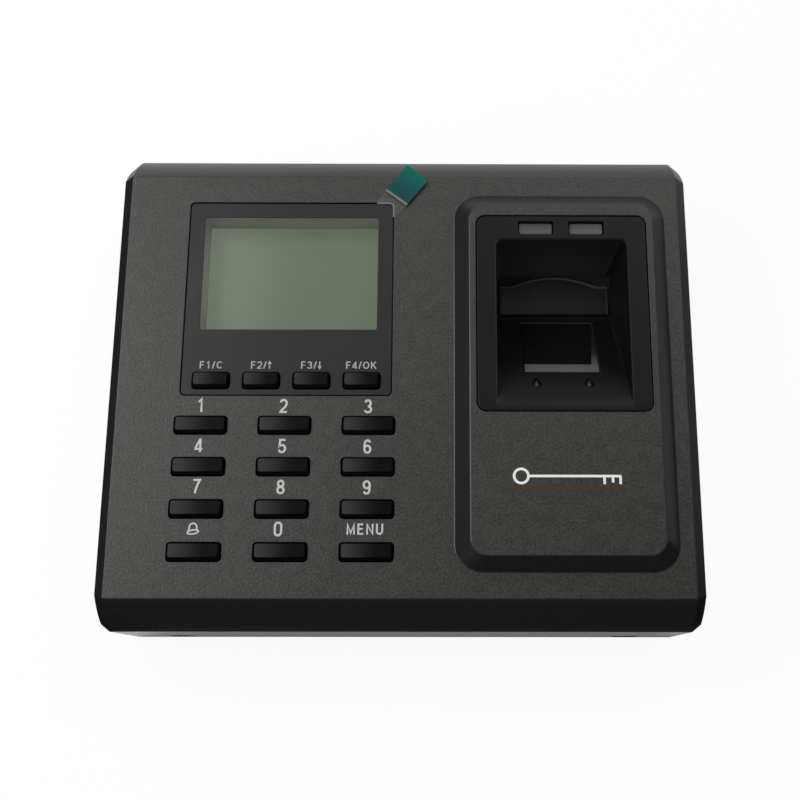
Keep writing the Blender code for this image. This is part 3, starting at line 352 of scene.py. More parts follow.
def cover_plastic():
    material, place = new_finish("cover_grain")
    upward = facing(place, "Z")
    flat = upward.ease(0.95, 0.99) * place.part("Z").ease(*GRAIN_START)
    fine = speckle(place, 0.0007)
    coarse = speckle(place, 0.0035)
    mottle = fine.ease(0.20, 0.80) * 0.8 + coarse.ease(0.3, 0.7) * 0.2
    wall = 1 - abs(upward).ease(0.1, 0.3)
    grained = mottle.blend(colour(0.0030, 0.0030, 0.0026), colour(0.0350, 0.0350, 0.0300))
    return close_finish(material, {
        "Base Color": flat.blend(colour(0.0085), grained),
        "Roughness": flat * 0.18 + 0.32 - wall * 0.08,
        "Specular IOR Level": 0.42,
        "Normal": relief(fine * flat, 0.00014, 0.6),
    })


def smooth_plastic(name, tone, gloss, level=0.28):
    """Satin moulded plastic: a plain tone with faint flow marks in its gloss."""
    material, place = new_finish(name)
    flow = speckle(place, 0.012)
    fine = speckle(place, 0.0004)
    return close_finish(material, {
        "Base Color": flow.blend(toned(tone, 0.88), toned(tone, 1.12)),
        "Roughness": flow * 0.10 + (gloss - 0.05),
        "Specular IOR Level": level,
        "Normal": relief(fine, 0.00001, 0.5),
    })


print("plastics mixed")

# %% [markdown]
# ## Dressing the solids
#
# A CAD node whose shape is right keeps its mesh and only gets a finish. A moulded edge is never
# sharp: a narrow band along it catches the light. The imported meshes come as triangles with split
# corners, so modifiers weld each one before they round its edges, and the solids stay as they are.

# %% Finish and soft edges for a solid
WELD_REACH = 0.000005
SHARP = math.radians(28)


def dress(names, material, edge=None):
    """Give solids one finish and, where a width is named, rounded edges."""
    for name in names:
        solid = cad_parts[name]
        solid.data.materials.clear()
        solid.data.materials.append(material)
        if edge:
            weld = solid.modifiers.new("weld", "WELD")
            weld.merge_threshold = WELD_REACH
            bevel = solid.modifiers.new("edge", "BEVEL")
            bevel.width = edge
            bevel.segments = 2
            bevel.limit_method = "ANGLE"
            bevel.angle_limit = SHARP
            solid.modifiers.new("shade", "WEIGHTED_NORMAL")
            for face in solid.data.polygons:
                face.use_smooth = True


dress(["rear_cover"], smooth_plastic("rear_black", (0.030, 0.030, 0.030), 0.5), 0.0003)
print("rear cover dressed")

# %% [markdown]
# ## Casting new skins
#
# The cover, the display panel and the scanner bezel are seen from close by, so they get new meshes
# with finer corners and true roundings. Boolean cuts would give them too, with ragged triangles at
# each rounding. Here each piece is cast from loops of points: loops are joined by strips of quads,
# and a flat lid closes what lies between an outer loop and the holes in it.

# %% Outlines
def area_of(name):
    """The rectangle that a node covers, seen from above."""
    low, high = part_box(name)
    return low.x, high.x, low.y, high.y


def grow(area, step):
    x0, x1, y0, y1 = area
    return x0 - step, x1 + step, y0 - step, y1 + step


def middle(area):
    x0, x1, y0, y1 = area
    return (x0 + x1) / 2, (y0 + y1) / 2


def corner_arc(x, y, radius, quarter, steps):
    """A quarter of a circle: quarter 0 is at the upper right, 1 upper left, 2 lower left, -1 lower right."""
    points = []
    for step in range(steps + 1):
        turn = (quarter + step / steps) * math.pi / 2
        points.append((x + radius * math.cos(turn), y + radius * math.sin(turn)))
    return points


def outline(area, radius, steps=8):
    """Points round a rectangle with round corners, from its upper right one."""
    x0, x1, y0, y1 = grow(area, -radius)
    points = []
    for quarter, (x, y) in enumerate(((x1, y1), (x0, y1), (x0, y0), (x1, y0))):
        points += corner_arc(x, y, radius, quarter, steps)
    return points


def curve_points(start, corner, end, steps=5):
    """Points of a soft corner between two straight lines."""
    points = []
    for step in range(steps + 1):
        t = step / steps
        points.append(tuple((1 - t) ** 2 * a + 2 * t * (1 - t) * b + t * t * c
                            for a, b, c in zip(start, corner, end)))
    return points


def soft_edge(size):
    """How far a rounded edge stands back, and how far below its top, in four points."""
    return curve_points((size, 0.0), (0.0, 0.0), (0.0, size), 3)


print("the panel covers", [round(side / MM, 1) for side in area_of("display_panel")], "mm")

# %% Moulds
FOLD = math.radians(40)


class Mould:
    """Casts one skin out of loops of points."""

    def __init__(self):
        self.skin = bmesh.new()

    def loop(self, points):
        return [self.skin.verts.new(point) for point in points]

    def edges(self, loop):
        """The edges round a loop, made where they are missing."""
        pairs = zip(loop, loop[1:] + loop[:1])
        return [self.skin.edges.get(pair) or self.skin.edges.new(pair) for pair in pairs]

    def join(self, first, second, finish=0, leave=()):
        """Quads between two loops of the same length, without those that start at the left out points."""
        for i in range(len(first)):
            j = (i + 1) % len(first)
            if i not in leave:
                face = self.skin.faces.new((first[i], first[j], second[j], second[i]))
                face.material_index = finish

    def tower(self, rings, finish=0):
        """Join rings of points one after another; gives back the first and the last loop."""
        loops = [self.loop(ring) for ring in rings]
        for first, second in zip(loops, loops[1:]):
            self.join(first, second, finish)
        return loops[0], loops[-1]

    def bar(self, rings):
        """A tower with one plain face at each end."""
        for end in self.tower(rings):
            self.skin.faces.new(end)

    def fill(self, edges, finish=0, up=(0.0, 0.0, 1.0)):
        made = bmesh.ops.triangle_fill(self.skin, use_beauty=True, edges=edges, normal=up)
        for item in made["geom"]:
            if isinstance(item, bmesh.types.BMFace):
                item.material_index = finish

    def lid(self, loops, finish=0, up=(0.0, 0.0, 1.0)):
        """A flat face between an outer loop and the holes in it."""
        self.fill([edge for loop in loops for edge in self.edges(loop)], finish, up)

    def slab(self, rings):
        """A tower with a lid at each end."""
        for end in self.tower(rings):
            self.lid([end])

    def turn_out(self):
        bmesh.ops.recalc_face_normals(self.skin, faces=self.skin.faces)

    def mesh(self, name):
        mesh = bpy.data.meshes.new(name)
        self.skin.to_mesh(mesh)
        self.skin.free()
        return mesh

    def cast(self, name, materials, body="housing", replaced=()):
        """Make the skin a piece that rides on a body and, where nodes are named, stands for them."""
        self.turn_out()
        for edge in self.skin.edges:
            edge.smooth = edge.calc_face_angle(0.0) < FOLD
        for face in self.skin.faces:
            face.smooth = True
        mesh = self.mesh(name)
        for material in materials:
            mesh.materials.append(material)
        piece = put(name, mesh)
        piece.modifiers.new("shade", "WEIGHTED_NORMAL").keep_sharp = True
        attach(piece, body)
        if replaced:
            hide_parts(*replaced)
        print(name, len(mesh.polygons), "faces")
        return piece


print("moulds fold at", round(math.degrees(FOLD)), "degrees")

# %% [markdown]
# ## Front cover
#
# The cover is a deep shell: flat face, wide chamfers at its top and bottom, a bevel that runs round
# each side, and a raised pad with sloped edges at the right. Its outer form is cast from four
# sections and bevelled. The face is then opened and laid again as a lid round the pad, the panel's
# pocket and the key slots.

# %% Measures of the cover
GAP = 0.0003
EDGE = 0.0002
FACE_HALF = (0.0874, 0.06692)
CHAMFER = (0.0094, 0.0097)
CHAMFER_STEPS = 5
CHAMFER_SWELL = 0.0006
SIDE_BEVEL = (0.0031, 0.0023)
RIM_DRAFT = 0.0010
WALL = 0.0025
FACE_THICK = 0.0030
PAD_RISE = 0.0042
PAD_SLOPE = 0.0047
PAD_EDGE = 0.0003
PAD_RADIUS = 0.0084
PAD_RADIUS_GAIN = 0.0034
PAD_STEPS = 12
PAD_BORDER = 0.0070
PAD_ENDS = (0.0076, 0.0065)
BEZEL_RIM = 0.0030
cover_low, cover_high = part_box("front_cover")
pad_z = cover_high.z
face_z = pad_z - PAD_RISE
ceiling_z = face_z - FACE_THICK
rim_z = cover_low.z
panel_area = area_of("display_panel")
bezel_area = grow(area_of("scanner_bezel"), -BEZEL_RIM)
pad_left, pad_right, _, _ = grow(bezel_area, PAD_BORDER)
pad_area = (pad_left, pad_right, -FACE_HALF[1] + PAD_ENDS[0], FACE_HALF[1] - PAD_ENDS[1])
print("face at", round(face_z / MM, 2), "mm, pad at", round(pad_z / MM, 2), "mm")

# %% Outer form of the cover
SHELL_FOLD = math.radians(15)
SHELL_EDGE = 0.00025
LEVEL_FACE = 0.999
RIM_REACH = 0.0001


def cover_section(inset):
    """Half of the section across the cover, from the rim to the face, and its mirror image."""
    slant = math.hypot(*CHAMFER)
    wall_y = FACE_HALF[1] + CHAMFER[0] - inset
    knee_z = face_z - CHAMFER[1] - inset * (slant - CHAMFER[1]) / CHAMFER[0]
    roof_y = FACE_HALF[1] + (CHAMFER[0] - slant) * inset / CHAMFER[1]
    half = [(wall_y + RIM_DRAFT, rim_z)]
    for step in range(CHAMFER_STEPS + 1):
        share = step / CHAMFER_STEPS
        swell = 4 * CHAMFER_SWELL * share * (1 - share) * math.sqrt(0.5)
        half.append((wall_y + (roof_y - wall_y) * share + swell,
                     knee_z + (face_z - inset - knee_z) * share + swell))
    return half + [(-y, z) for y, z in reversed(half)]


def cover_shell(mould):
    """The bevelled outer form; gives back the edges round the open face and round the rim."""
    skin = mould.skin
    side = FACE_HALF[0] + SIDE_BEVEL[0]
    sections = ((-side, SIDE_BEVEL[1]), (-FACE_HALF[0], 0.0), (FACE_HALF[0], 0.0), (side, SIDE_BEVEL[1]))
    rings = [mould.loop([(x, y, z) for y, z in cover_section(inset)]) for x, inset in sections]
    for first, second in zip(rings, rings[1:]):
        mould.join(first, second, leave=(len(first) - 1,))
    skin.faces.new(rings[0])
    skin.faces.new(rings[-1])
    mould.turn_out()
    folds = [e for e in skin.edges if len(e.link_faces) == 2 and e.calc_face_angle() > SHELL_FOLD]
    bmesh.ops.bevel(skin, geom=folds, offset=SHELL_EDGE, segments=3, profile=0.5, affect="EDGES")
    mould.turn_out()
    top = max((f for f in skin.faces if abs(f.normal.z) > LEVEL_FACE), key=lambda f: f.calc_area())
    face_loop = list(top.verts)
    bmesh.ops.delete(skin, geom=[top], context="FACES_ONLY")
    rim = [e for e in skin.edges if e.is_boundary and max(v.co.z for v in e.verts) < rim_z + RIM_REACH]
    return face_loop, rim


print(len(cover_section(0.0)), "points in a section of the cover")

# %% Cover
KEY_EAR = 0.0010
KEY_CLEAR = 0.0001
SLOT_RADIUS = 0.0011
SLOT_STEPS = 5
POCKET_RADIUS = 0.0015
POCKET_DEPTH = 0.0021
LEDGE = 0.0015
PANEL_RADIUS = 0.0012
OPENING_RADIUS = 0.0030
INSIDE_WIDER = 0.0003
ROOF_INSET = 0.0006
KNEE_DROP = 0.0010
keypad_names = [f"key_{n}" for n in range(10)] + ["key_bell", "key_menu"]
function_names = [f"function_key_{n}" for n in range(1, 5)]


def slot_rings(area, radius, top, bottom, steps=8):
    """Rings of a hole with a rounded edge, from its top down."""
    rings = []
    for out, down in soft_edge(EDGE):
        rings.append(at(outline(grow(area, out), radius + out, steps), top - down))
    return rings + [at(outline(area, radius, steps), bottom)]


def block_rings(area, radius, edge, top, bottom):
    """Rings of a block with a rounded upper edge, from its top down."""
    rings = [at(outline(grow(area, -inset), radius), top - down) for inset, down in soft_edge(edge)]
    return rings + [at(outline(area, radius), bottom)]


def key_stem(name):
    """The part of a key that comes up through the face, without the ears that hold it in."""
    x0, x1, y0, y1 = area_of(name)
    return x0 + KEY_EAR, x1 - KEY_EAR, y0, y1


def key_slots(names, top, bottom):
    areas = [grow(key_stem(name), KEY_CLEAR) for name in names]
    return [slot_rings(area, SLOT_RADIUS, top, bottom, SLOT_STEPS) for area in areas]


def pad_rings():
    """Rings up the sloped edge of the pad, with a soft foot and a soft brow."""
    slant = math.hypot(PAD_RISE, PAD_SLOPE)
    lean_out = PAD_EDGE * PAD_SLOPE / slant
    lean_up = PAD_EDGE * PAD_RISE / slant
    foot = curve_points((PAD_EDGE, 0.0), (0.0, 0.0), (-lean_out, lean_up))
    brow = curve_points((-PAD_SLOPE + lean_out, PAD_RISE - lean_up), (-PAD_SLOPE, PAD_RISE),
                        (-PAD_SLOPE - PAD_EDGE, PAD_RISE))
    rings = []
    for out, up in foot + brow:
        radius = PAD_RADIUS + out * PAD_RADIUS_GAIN / PAD_SLOPE
        rings.append(at(outline(grow(pad_area, out), radius, PAD_STEPS), face_z + up))
    return rings


def front_cover():
    mould = Mould()
    face_loop, rim = cover_shell(mould)
    inner_x = FACE_HALF[0] + INSIDE_WIDER
    wall_y = FACE_HALF[1] + CHAMFER[0] - WALL
    roof_y = FACE_HALF[1] - ROOF_INSET
    rings = []
    for y, z in ((wall_y, rim_z), (wall_y, face_z - CHAMFER[1] - KNEE_DROP), (roof_y, ceiling_z)):
        rings.append([(inner_x, y, z), (-inner_x, y, z), (-inner_x, -y, z), (inner_x, -y, z)])
    inside_rim, ceiling = mould.tower(rings)
    mould.fill(rim + mould.edges(inside_rim), up=(0.0, 0.0, -1.0))
    pocket = grow(panel_area, GAP)
    ledge_z = face_z - POCKET_DEPTH
    ledge = outline(grow(pocket, -LEDGE), PANEL_RADIUS)
    panel_pocket = slot_rings(pocket, POCKET_RADIUS, face_z, ledge_z)
    panel_pocket += [at(ledge, ledge_z), at(ledge, ceiling_z)]
    holes = [mould.tower(rings) for rings in key_slots(keypad_names, face_z, ceiling_z) + [panel_pocket]]
    pad_foot, pad_brow = mould.tower(pad_rings())
    opening = slot_rings(grow(bezel_area, GAP), OPENING_RADIUS, pad_z, ceiling_z)
    opening_top, opening_foot = mould.tower(opening)
    mould.lid([pad_brow, opening_top])
    mould.lid([face_loop] + [first for first, last in holes] + [pad_foot])
    mould.lid([ceiling] + [last for first, last in holes] + [opening_foot])
    return mould.cast("front_cover_form", [cover_plastic()], replaced=["front_cover"])


cover = front_cover()

# %% [markdown]
# ## Pockets for the lock screws
#
# Two screws lock the cover to its wall plate from below. Each sits in a round pocket in the bottom
# wall. The wall is already cast, so a Boolean cut is the short way here: its ragged triangles lie
# on a flat wall, where they don't show.

# %% Notches
NOTCH_RADIUS = 0.00425
NOTCH_HEIGHT = 0.00575
NOTCH_STEPS = 28
NOTCH_DEPTH = 0.0016
CUTTER_LENGTH = 0.003


def notch(piece, x):
    """Cut one round pocket into the bottom wall, just above its lower edge."""
    points = []
    for step in range(NOTCH_STEPS):
        turn = 2 * math.pi * step / NOTCH_STEPS
        points.append((x + NOTCH_RADIUS * math.cos(turn), NOTCH_HEIGHT + NOTCH_RADIUS * math.sin(turn)))
    wall_y = -FACE_HALF[1] - CHAMFER[0]
    mould = Mould()
    mould.bar([[(px, y, pz) for px, pz in points] for y in (wall_y - CUTTER_LENGTH, wall_y + NOTCH_DEPTH)])
    mould.turn_out()
    cutter = put("notch", mould.mesh("notch"))
    cut = piece.modifiers.new("notch", "BOOLEAN")
    cut.object = cutter
    cut.operation = "DIFFERENCE"
    cut.solver = "EXACT"
    piece.modifiers.move(len(piece.modifiers) - 1, 0)
    bpy.context.view_layer.update()
    shaped = bpy.data.meshes.new_from_object(piece.evaluated_get(bpy.context.evaluated_depsgraph_get()))
    piece.modifiers.remove(cut)
    piece.data = shaped
    bpy.data.objects.remove(cutter)


for name in ("lock_screw_left", "lock_screw_right"):
    notch(cover, middle(area_of(name))[0])
print("two notches over the lock screws")

# %% [markdown]
# ## Keys
#
# Each key is a hard cap with sloped sides, so its flat top is smaller than its slot, most of all at
# the lower side. The solids have plain rounded blocks here. The caps are cast anew on the same ears
# and feet, and each rides on the body of its own key.

# %% Key caps
KEY_SHRINK = 0.00025
KEY_FOOT_INSET = 0.0008
KEY_FOOT_TALL = 0.0006
KEY_EAR_TOP = 0.0014
KEY_SLOPE = 0.0010
KEY_BRIM = 0.00015
CROWN_INSETS = (0.00035, 0.00035, 0.0009, 0.00015)
EAR_RADIUS = 0.0006
CAP_RADIUS = 0.0008
CAP_STEPS = 5


def key_cap(name):
    low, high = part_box(name)
    ears = area_of(name)
    foot = grow(key_stem(name), -KEY_FOOT_INSET)
    shaft = grow(key_stem(name), -KEY_SHRINK)
    left, right, lower, upper = CROWN_INSETS
    crown = (shaft[0] + left, shaft[1] - right, shaft[2] + lower, shaft[3] - upper)
    ear_foot = low.z + KEY_FOOT_TALL
    ear_top = low.z + KEY_EAR_TOP
    rings = [(foot, EAR_RADIUS, low.z), (foot, EAR_RADIUS, ear_foot),
             (ears, EAR_RADIUS, ear_foot), (ears, EAR_RADIUS, ear_top),
             (shaft, CAP_RADIUS, ear_top), (shaft, CAP_RADIUS, high.z - KEY_SLOPE),
             (crown, CAP_RADIUS, high.z - KEY_BRIM)]
    mould = Mould()
    first, brim = mould.tower([at(outline(area, radius, CAP_STEPS), z) for area, radius, z in rings], 1)
    top = mould.loop(at(outline(grow(crown, -KEY_BRIM), CAP_RADIUS, CAP_STEPS), high.z))
    mould.join(brim, top)
    mould.lid([first], 1)
    mould.lid([top])
    mould.cast(name + "_cap", [key_top_painted_sheen, key_side], name, [name])


def key_plastic_painted_sheen():
    """The flat top of a key: fine lengthwise lines, and a painted sheen, lighter at its left end and darker
    towards its right end.
    """
    material, place = new_finish("key_black")
    lines = speckle(place.stretched((0.12, 1.0, 1.0)), 0.0006)
    # Painted sheen: the top is lighter at its left end and darker at its right end, as the light falls.
    shade = place.out("Generated").part("X").ease(0.0, 0.72) * 0.85 + lines * 0.15
    return close_finish(material, {
        "Base Color": shade.blend(colour(0.0380), colour(0.0010)),
        "Roughness": lines * 0.10 + 0.36,
        "Specular IOR Level": 0.04,
        "Normal": relief(lines, 0.00001, 0.4),
    })


key_top_painted_sheen = key_plastic_painted_sheen()
# The sides of a key are a darker black: painted shade, for the shade of the slot round them.
key_side = smooth_plastic("key_side", (0.0020, 0.0020, 0.0020), 0.45, 0.04)
for name in keypad_names + function_names:
    key_cap(name)

# %% [markdown]
# ## Metal, boards and the small parts at the back
#
# From the back one sees the zinc-plated wall plate, its screws and the sockets behind its opening.
# Rolled sheet has a faint lengthwise drift in its gloss, which stretched noise gives.

# %% Metal and board finishes
CELLS_PER_METRE = 260.0


def plated_steel(name, stretch, tone):
    material, place = new_finish(name)
    streaks = speckle(place.stretched(stretch), 0.004, 4.0)
    cloud = speckle(place, 0.02)
    return close_finish(material, {
        "Base Color": cloud.blend(toned(tone, 0.85), colour(*tone)),
        "Metallic": 1.0,
        "Roughness": streaks * 0.25 + 0.22,
        "Normal": relief(streaks, 0.00001, 0.4),
    })


def circuit_board():
    material, place = new_finish("board")
    cells = place.node("ShaderNodeTexVoronoi", {"feature": "DISTANCE_TO_EDGE"},
                       {"Vector": place, "Scale": CELLS_PER_METRE})
    tracks = 1 - cells.ease(0.02, 0.06)
    return close_finish(material, {
        "Base Color": tracks.blend(colour(0.012, 0.085, 0.035), colour(0.03, 0.15, 0.07)),
        "Roughness": tracks * 0.15 + 0.3,
        "Normal": relief(tracks, 0.00003, 0.6),
    })


dress(["mounting_plate"], plated_steel("plate_steel", (1.0, 12.0, 12.0), (0.60, 0.61, 0.62)), 0.0003)
screws = [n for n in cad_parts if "screw" in n]
dress(screws, plated_steel("screw_steel", (4.0, 4.0, 4.0), (0.58, 0.59, 0.60)), 0.0002)
dress(["coin_cell"], plated_steel("cell_steel", (2.0, 2.0, 2.0), (0.66, 0.66, 0.64)))
dress(["keypad_board", "main_board", "sensor_board", "led_board"], circuit_board())
dress(["keypad_mat"], smooth_plastic("silicone", (0.30, 0.30, 0.30), 0.6))
socket_black = smooth_plastic("socket_plastic", (0.045, 0.045, 0.045), 0.4)
dress(["network_jack", "tamper_switch", "speaker", "sensor_camera"], socket_black, 0.0002)
dress(["lock_relay"], smooth_plastic("relay_blue", (0.02, 0.06, 0.25), 0.35))
dress(["lock_terminal", "power_terminal"], smooth_plastic("terminal_green", (0.03, 0.22, 0.09), 0.4), 0.0002)
dress(["ribbon_cable"], smooth_plastic("ribbon", (0.55, 0.55, 0.52), 0.45))
dress(["tamper_plunger"], smooth_plastic("plunger_red", (0.60, 0.12, 0.08), 0.4), 0.0002)
print(len(screws), "screws plated")

# %% [markdown]
# ## Display
#
# Under the clear window lies a grey-green liquid crystal display, nearly a centimetre down, inside
# a pale collar. The window itself is almost invisible: it adds a faint gloss and nothing else. Glass
# that bends light would be the exact way. A mix of a clear and a shiny shader looks the same on so
# thin a plate.

# %% Display finishes
DOT_PITCH = 0.0004


def clear_plastic(name, tint, shine_share):
    """See-through plastic with a reflection that grows towards grazing angles."""
    material, place = new_finish(name)
    haze = speckle(place, 0.01)
    through = place.node("ShaderNodeBsdfTransparent", {}, {"Color": colour(*tint)})
    shine = place.node("ShaderNodeBsdfPrincipled", {}, {
        "Base Color": haze.blend(colour(0.90), colour(0.96)),
        "Metallic": 1.0,
        "Roughness": haze * 0.06 + 0.05,
    })
    edge = place.node("ShaderNodeFresnel", {}, {"IOR": 1.50})
    return coat(material, (edge * shine_share).between(through, shine))


def display_painted_glow():
    """Dark dots on a grey-green ground with a painted glow, brighter at its left end, that stands in for
    light falling into its deep well.
    """
    material, place = new_finish("display")
    dots = place.node("ShaderNodeTexChecker", {}, {"Vector": place, "Scale": 1.0 / DOT_PITCH}, out="Fac")
    drift = speckle(place, 0.03)
    across = place.out("Generated").part("X").ease(0.0, 0.6)
    return close_finish(material, {
        "Base Color": dots.blend(colour(0.044, 0.052, 0.040), colour(0.040, 0.048, 0.036)),
        "Roughness": drift * 0.1 + 0.3,
        "Specular IOR Level": 0.2,
        # Painted light: the emission stands in for light on the display, brighter at its left end.
        "Emission Color": across.blend(colour(0.124, 0.150, 0.112), colour(0.088, 0.112, 0.074)),
        "Emission Strength": 1.0,
    })


dress(["display_window"], clear_plastic("clear_window", (1.0, 1.0, 1.0), 0.10))
dress(["lcd_module"], display_painted_glow())
print("display glazed")

# %% Display panel
PANEL_THICK = 0.0016
WINDOW_RADIUS = 0.0008
WINDOW_RIM = 0.0004
WINDOW_STEPS = 4
COLLAR_WALL = 0.0012
COLLAR_RADIUS = 0.0020


def display_panel():
    """Inset panel with its window, four key slots and the pale collar down to the display."""
    low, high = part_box("display_panel")
    top = high.z
    under = top - PANEL_THICK
    window = grow(area_of("display_window"), GAP)
    mould = Mould()
    outer, outer_foot = mould.tower(block_rings(panel_area, PANEL_RADIUS, EDGE, top, under))
    slots = [mould.tower(rings) for rings in key_slots(function_names, top, under)]
    rim, rim_foot = mould.tower(slot_rings(window, WINDOW_RADIUS, top, top - WINDOW_RIM, WINDOW_STEPS))
    collar = mould.loop(at(outline(window, WINDOW_RADIUS, WINDOW_STEPS), low.z))
    mould.join(rim_foot, collar, 1)
    collar_plan = outline(grow(window, COLLAR_WALL), COLLAR_RADIUS, WINDOW_STEPS)
    collar_foot, collar_head = mould.tower([at(collar_plan, low.z), at(collar_plan, under)])
    mould.lid([outer] + [first for first, last in slots] + [rim])
    mould.lid([outer_foot] + [last for first, last in slots] + [collar_head])
    mould.join(collar, collar_foot)
    pale = smooth_plastic("collar_grey", (0.30, 0.30, 0.28), 0.5)
    smooth = smooth_plastic("panel_smooth", (0.0175, 0.0175, 0.0180), 0.42, 0.17)
    mould.cast("display_panel_form", [smooth, pale], replaced=["display_panel"])


display_panel()

# %% [markdown]
# ## Scanner
#
# The bezel is a smooth black tray with a finger recess. Its ramp grows out of the bezel's face
# without an edge and falls to the deep end, where an arched plate stops the fingertip. The recess is
# cast from level rings, one below another: each ring reaches from the ramp to the back wall.

# %% Measures of the recess
RECESS_HALF = 0.0202
RECESS_FLARE = 0.0003
RECESS_EDGE = 0.0005
RECESS_FOOT = 0.0004
RECESS_ENDS = (0.0034, 0.0079)
SIDE_DRAFT = 0.0016
END_DRAFT = 0.0030
RAMP = math.radians(37.0)
RAMP_LENGTH = 0.0413
RAMP_BEND = 0.0080
RAMP_CORNER = 0.0008
RAMP_CORNER_STEPS = 4
BACK_CORNER = 0.0018
BACK_CORNER_STEPS = 6
MOUTH = (0.0136, 0.0403)
MOUTH_HALF = 0.0116
MOUTH_RIGHT = 0.0123
recess_depth = RAMP_LENGTH * math.sin(RAMP)
bend_foot = RAMP_BEND * (1 - math.cos(RAMP))
pad_x = (bezel_area[0] + bezel_area[1]) / 2
recess_y0 = bezel_area[2] + RECESS_ENDS[0]
recess_y1 = bezel_area[3] - RECESS_ENDS[1]
print("recess", round(recess_depth / MM, 1), "mm deep")

# %% Rings of the recess
def rounding(depth, radius):
    """How far a rounded edge stands back at a depth below its top."""
    depth = min(depth, radius)
    return radius - math.sqrt(radius * radius - (radius - depth) ** 2)


def recess_ring(depth):
    """Points round the recess at one depth, along the ramp's edge first."""
    share = depth / recess_depth
    foot = max(0.0, depth - recess_depth + RECESS_FOOT)
    half = RECESS_HALF - share * SIDE_DRAFT + rounding(depth, RECESS_EDGE) - foot
    back = recess_y1 - share * END_DRAFT + rounding(depth, RECESS_EDGE) - foot
    if depth < bend_foot:
        bend_start = recess_y0 - RAMP_BEND * math.tan(RAMP / 2)
        front = bend_start + math.sqrt(RAMP_BEND ** 2 - (RAMP_BEND - depth) ** 2) + foot
    else:
        front = recess_y0 + depth / math.tan(RAMP) + foot
    low = RAMP_CORNER
    high = BACK_CORNER
    flat = corner_arc(-half + low, front + low, low, 2, RAMP_CORNER_STEPS)
    flat += [(-MOUTH_HALF, front), (0.0, front), (MOUTH_RIGHT, front)]
    flat += corner_arc(half - low, front + low, low, -1, RAMP_CORNER_STEPS)
    flat += corner_arc(half - high, back - high, high, 0, BACK_CORNER_STEPS)
    flat += corner_arc(-half + high, back - high, high, 1, BACK_CORNER_STEPS)
    points = []
    for x, y in flat:
        flare = RECESS_FLARE * (1 - 2 * (y - front) / (back - front))
        points.append((pad_x + x + math.copysign(flare, x) * (abs(x) > MOUTH_RIGHT), y, pad_z - depth))
    return points


print(len(recess_ring(0.0)), "points in a ring of the recess")

# %% Points on the ramp
NIB_REACH = 0.0081
NIB_START = 0.0073
NIB_HALF = 0.0015
NIB_ROUND = 0.0016
NIB_ROUND_STEPS = 12
NIB_POINT = 0.0036
NIB_POINT_STEPS = 8
NIB_TAPER = 1.5


def ramp_point(x, along, above=0.0):
    """A point on the ramp: across it, along it from its start, and square above it."""
    y = recess_y0 + along * math.cos(RAMP) + above * math.sin(RAMP)
    z = pad_z - along * math.sin(RAMP) + above * math.cos(RAMP)
    return Vector((pad_x + x, y, z))


def on_ramp(points, above):
    return [ramp_point(x, along, above) for x, along in points]


def teardrop(x, shrink=0.0):
    """Points across and along the ramp: round towards its start, pointed towards its deep end."""
    half = NIB_HALF - shrink
    tip = NIB_POINT - NIB_TAPER * shrink
    points = []
    for step in range(NIB_ROUND_STEPS + 1):
        turn = math.pi + step / NIB_ROUND_STEPS * math.pi
        points.append((x + half * math.cos(turn), NIB_START + NIB_ROUND * math.sin(turn) * half / NIB_HALF))
    for step in range(1, 2 * NIB_POINT_STEPS):
        turn = step / (2 * NIB_POINT_STEPS) * math.pi
        rise = 1 - abs(step / NIB_POINT_STEPS - 1)
        points.append((x + half * math.cos(turn), NIB_START + tip * rise))
    return points


print(len(teardrop(0.0)), "points round a nib")

# %% [markdown]
# ## Finish of the recess
#
# The tones in the recess are painted light and shade: the ramp turns darker as it goes down, the
# back wall and the right wall turn paler with depth, the floor is dark in front of the stop and
# paler behind it, and a rounded edge gets a painted highlight. Separate materials would end at the
# edges of faces. Here the place and the direction of the surface mix the tones, so that one passes
# softly into the next.

# %% Recess plastic
COOL = 1.07


def recess_black_painted_light():
    """Black plastic with painted light and shade: the ramp darker down its slope, the back wall and the right
    wall paler with depth, and a painted highlight on the rounded edge that faces right.
    """
    material, place = new_finish("scanner_black")
    height = place.part("Z")
    turned = facing(place, "X")
    straight = turned.ease(-0.35, -0.15)
    down = 1 - height.ease(pad_z - 0.0110, pad_z - 0.0006)
    deep = 1 - height.ease(pad_z - 0.0012, pad_z - 0.0004)
    sunk = 1 - height.ease(pad_z - recess_depth, pad_z - 0.0020)
    back = place.part("Y").ease(recess_y1 - 0.0042, recess_y1 - 0.0034) * straight * deep
    # Painted highlight: a pale line on the rounded top edge that faces right.
    edge = turned.ease(0.15, 0.35) * height.ease(pad_z - 0.0007, pad_z - 0.0005)
    flow = speckle(place, 0.012)
    fine = speckle(place, 0.0004)
    # Painted shade: the ramp turns darker as it goes down.
    ramp = down.blend(colour(0.0102, 0.0102, 0.0106), colour(0.0048, 0.0049, 0.0053))
    # Painted light: the back wall turns paler with depth, against the shade of the recess.
    wall = sunk.blend(colour(0.0165, 0.0168, 0.0185), colour(0.0440, 0.0450, 0.0500))
    # Painted light: the right wall turns paler with depth.
    right = sunk.blend(colour(0.0058, 0.0058, 0.0062), colour(0.0085, 0.0086, 0.0092))
    sides = straight.blend(deep.blend(ramp, right), back.blend(ramp, wall))
    return close_finish(material, {
        "Base Color": edge.blend(sides, colour(0.030)),
        "Roughness": flow * 0.10 + 0.31,
        "Specular IOR Level": 0.07,
        "Normal": relief(fine, 0.00001, 0.5),
    })


def graded_black(name, axis, start, end, first, second, level):
    """Matt black that passes from one tone to another along an axis."""
    material, place = new_finish(name)
    flow = speckle(place, 0.006)
    tones = [colour(tone, tone, COOL * tone) for tone in (first, second)]
    return close_finish(material, {
        "Base Color": place.part(axis).ease(start, end).blend(*tones),
        "Roughness": flow * 0.10 + 0.40,
        "Specular IOR Level": level,
    })


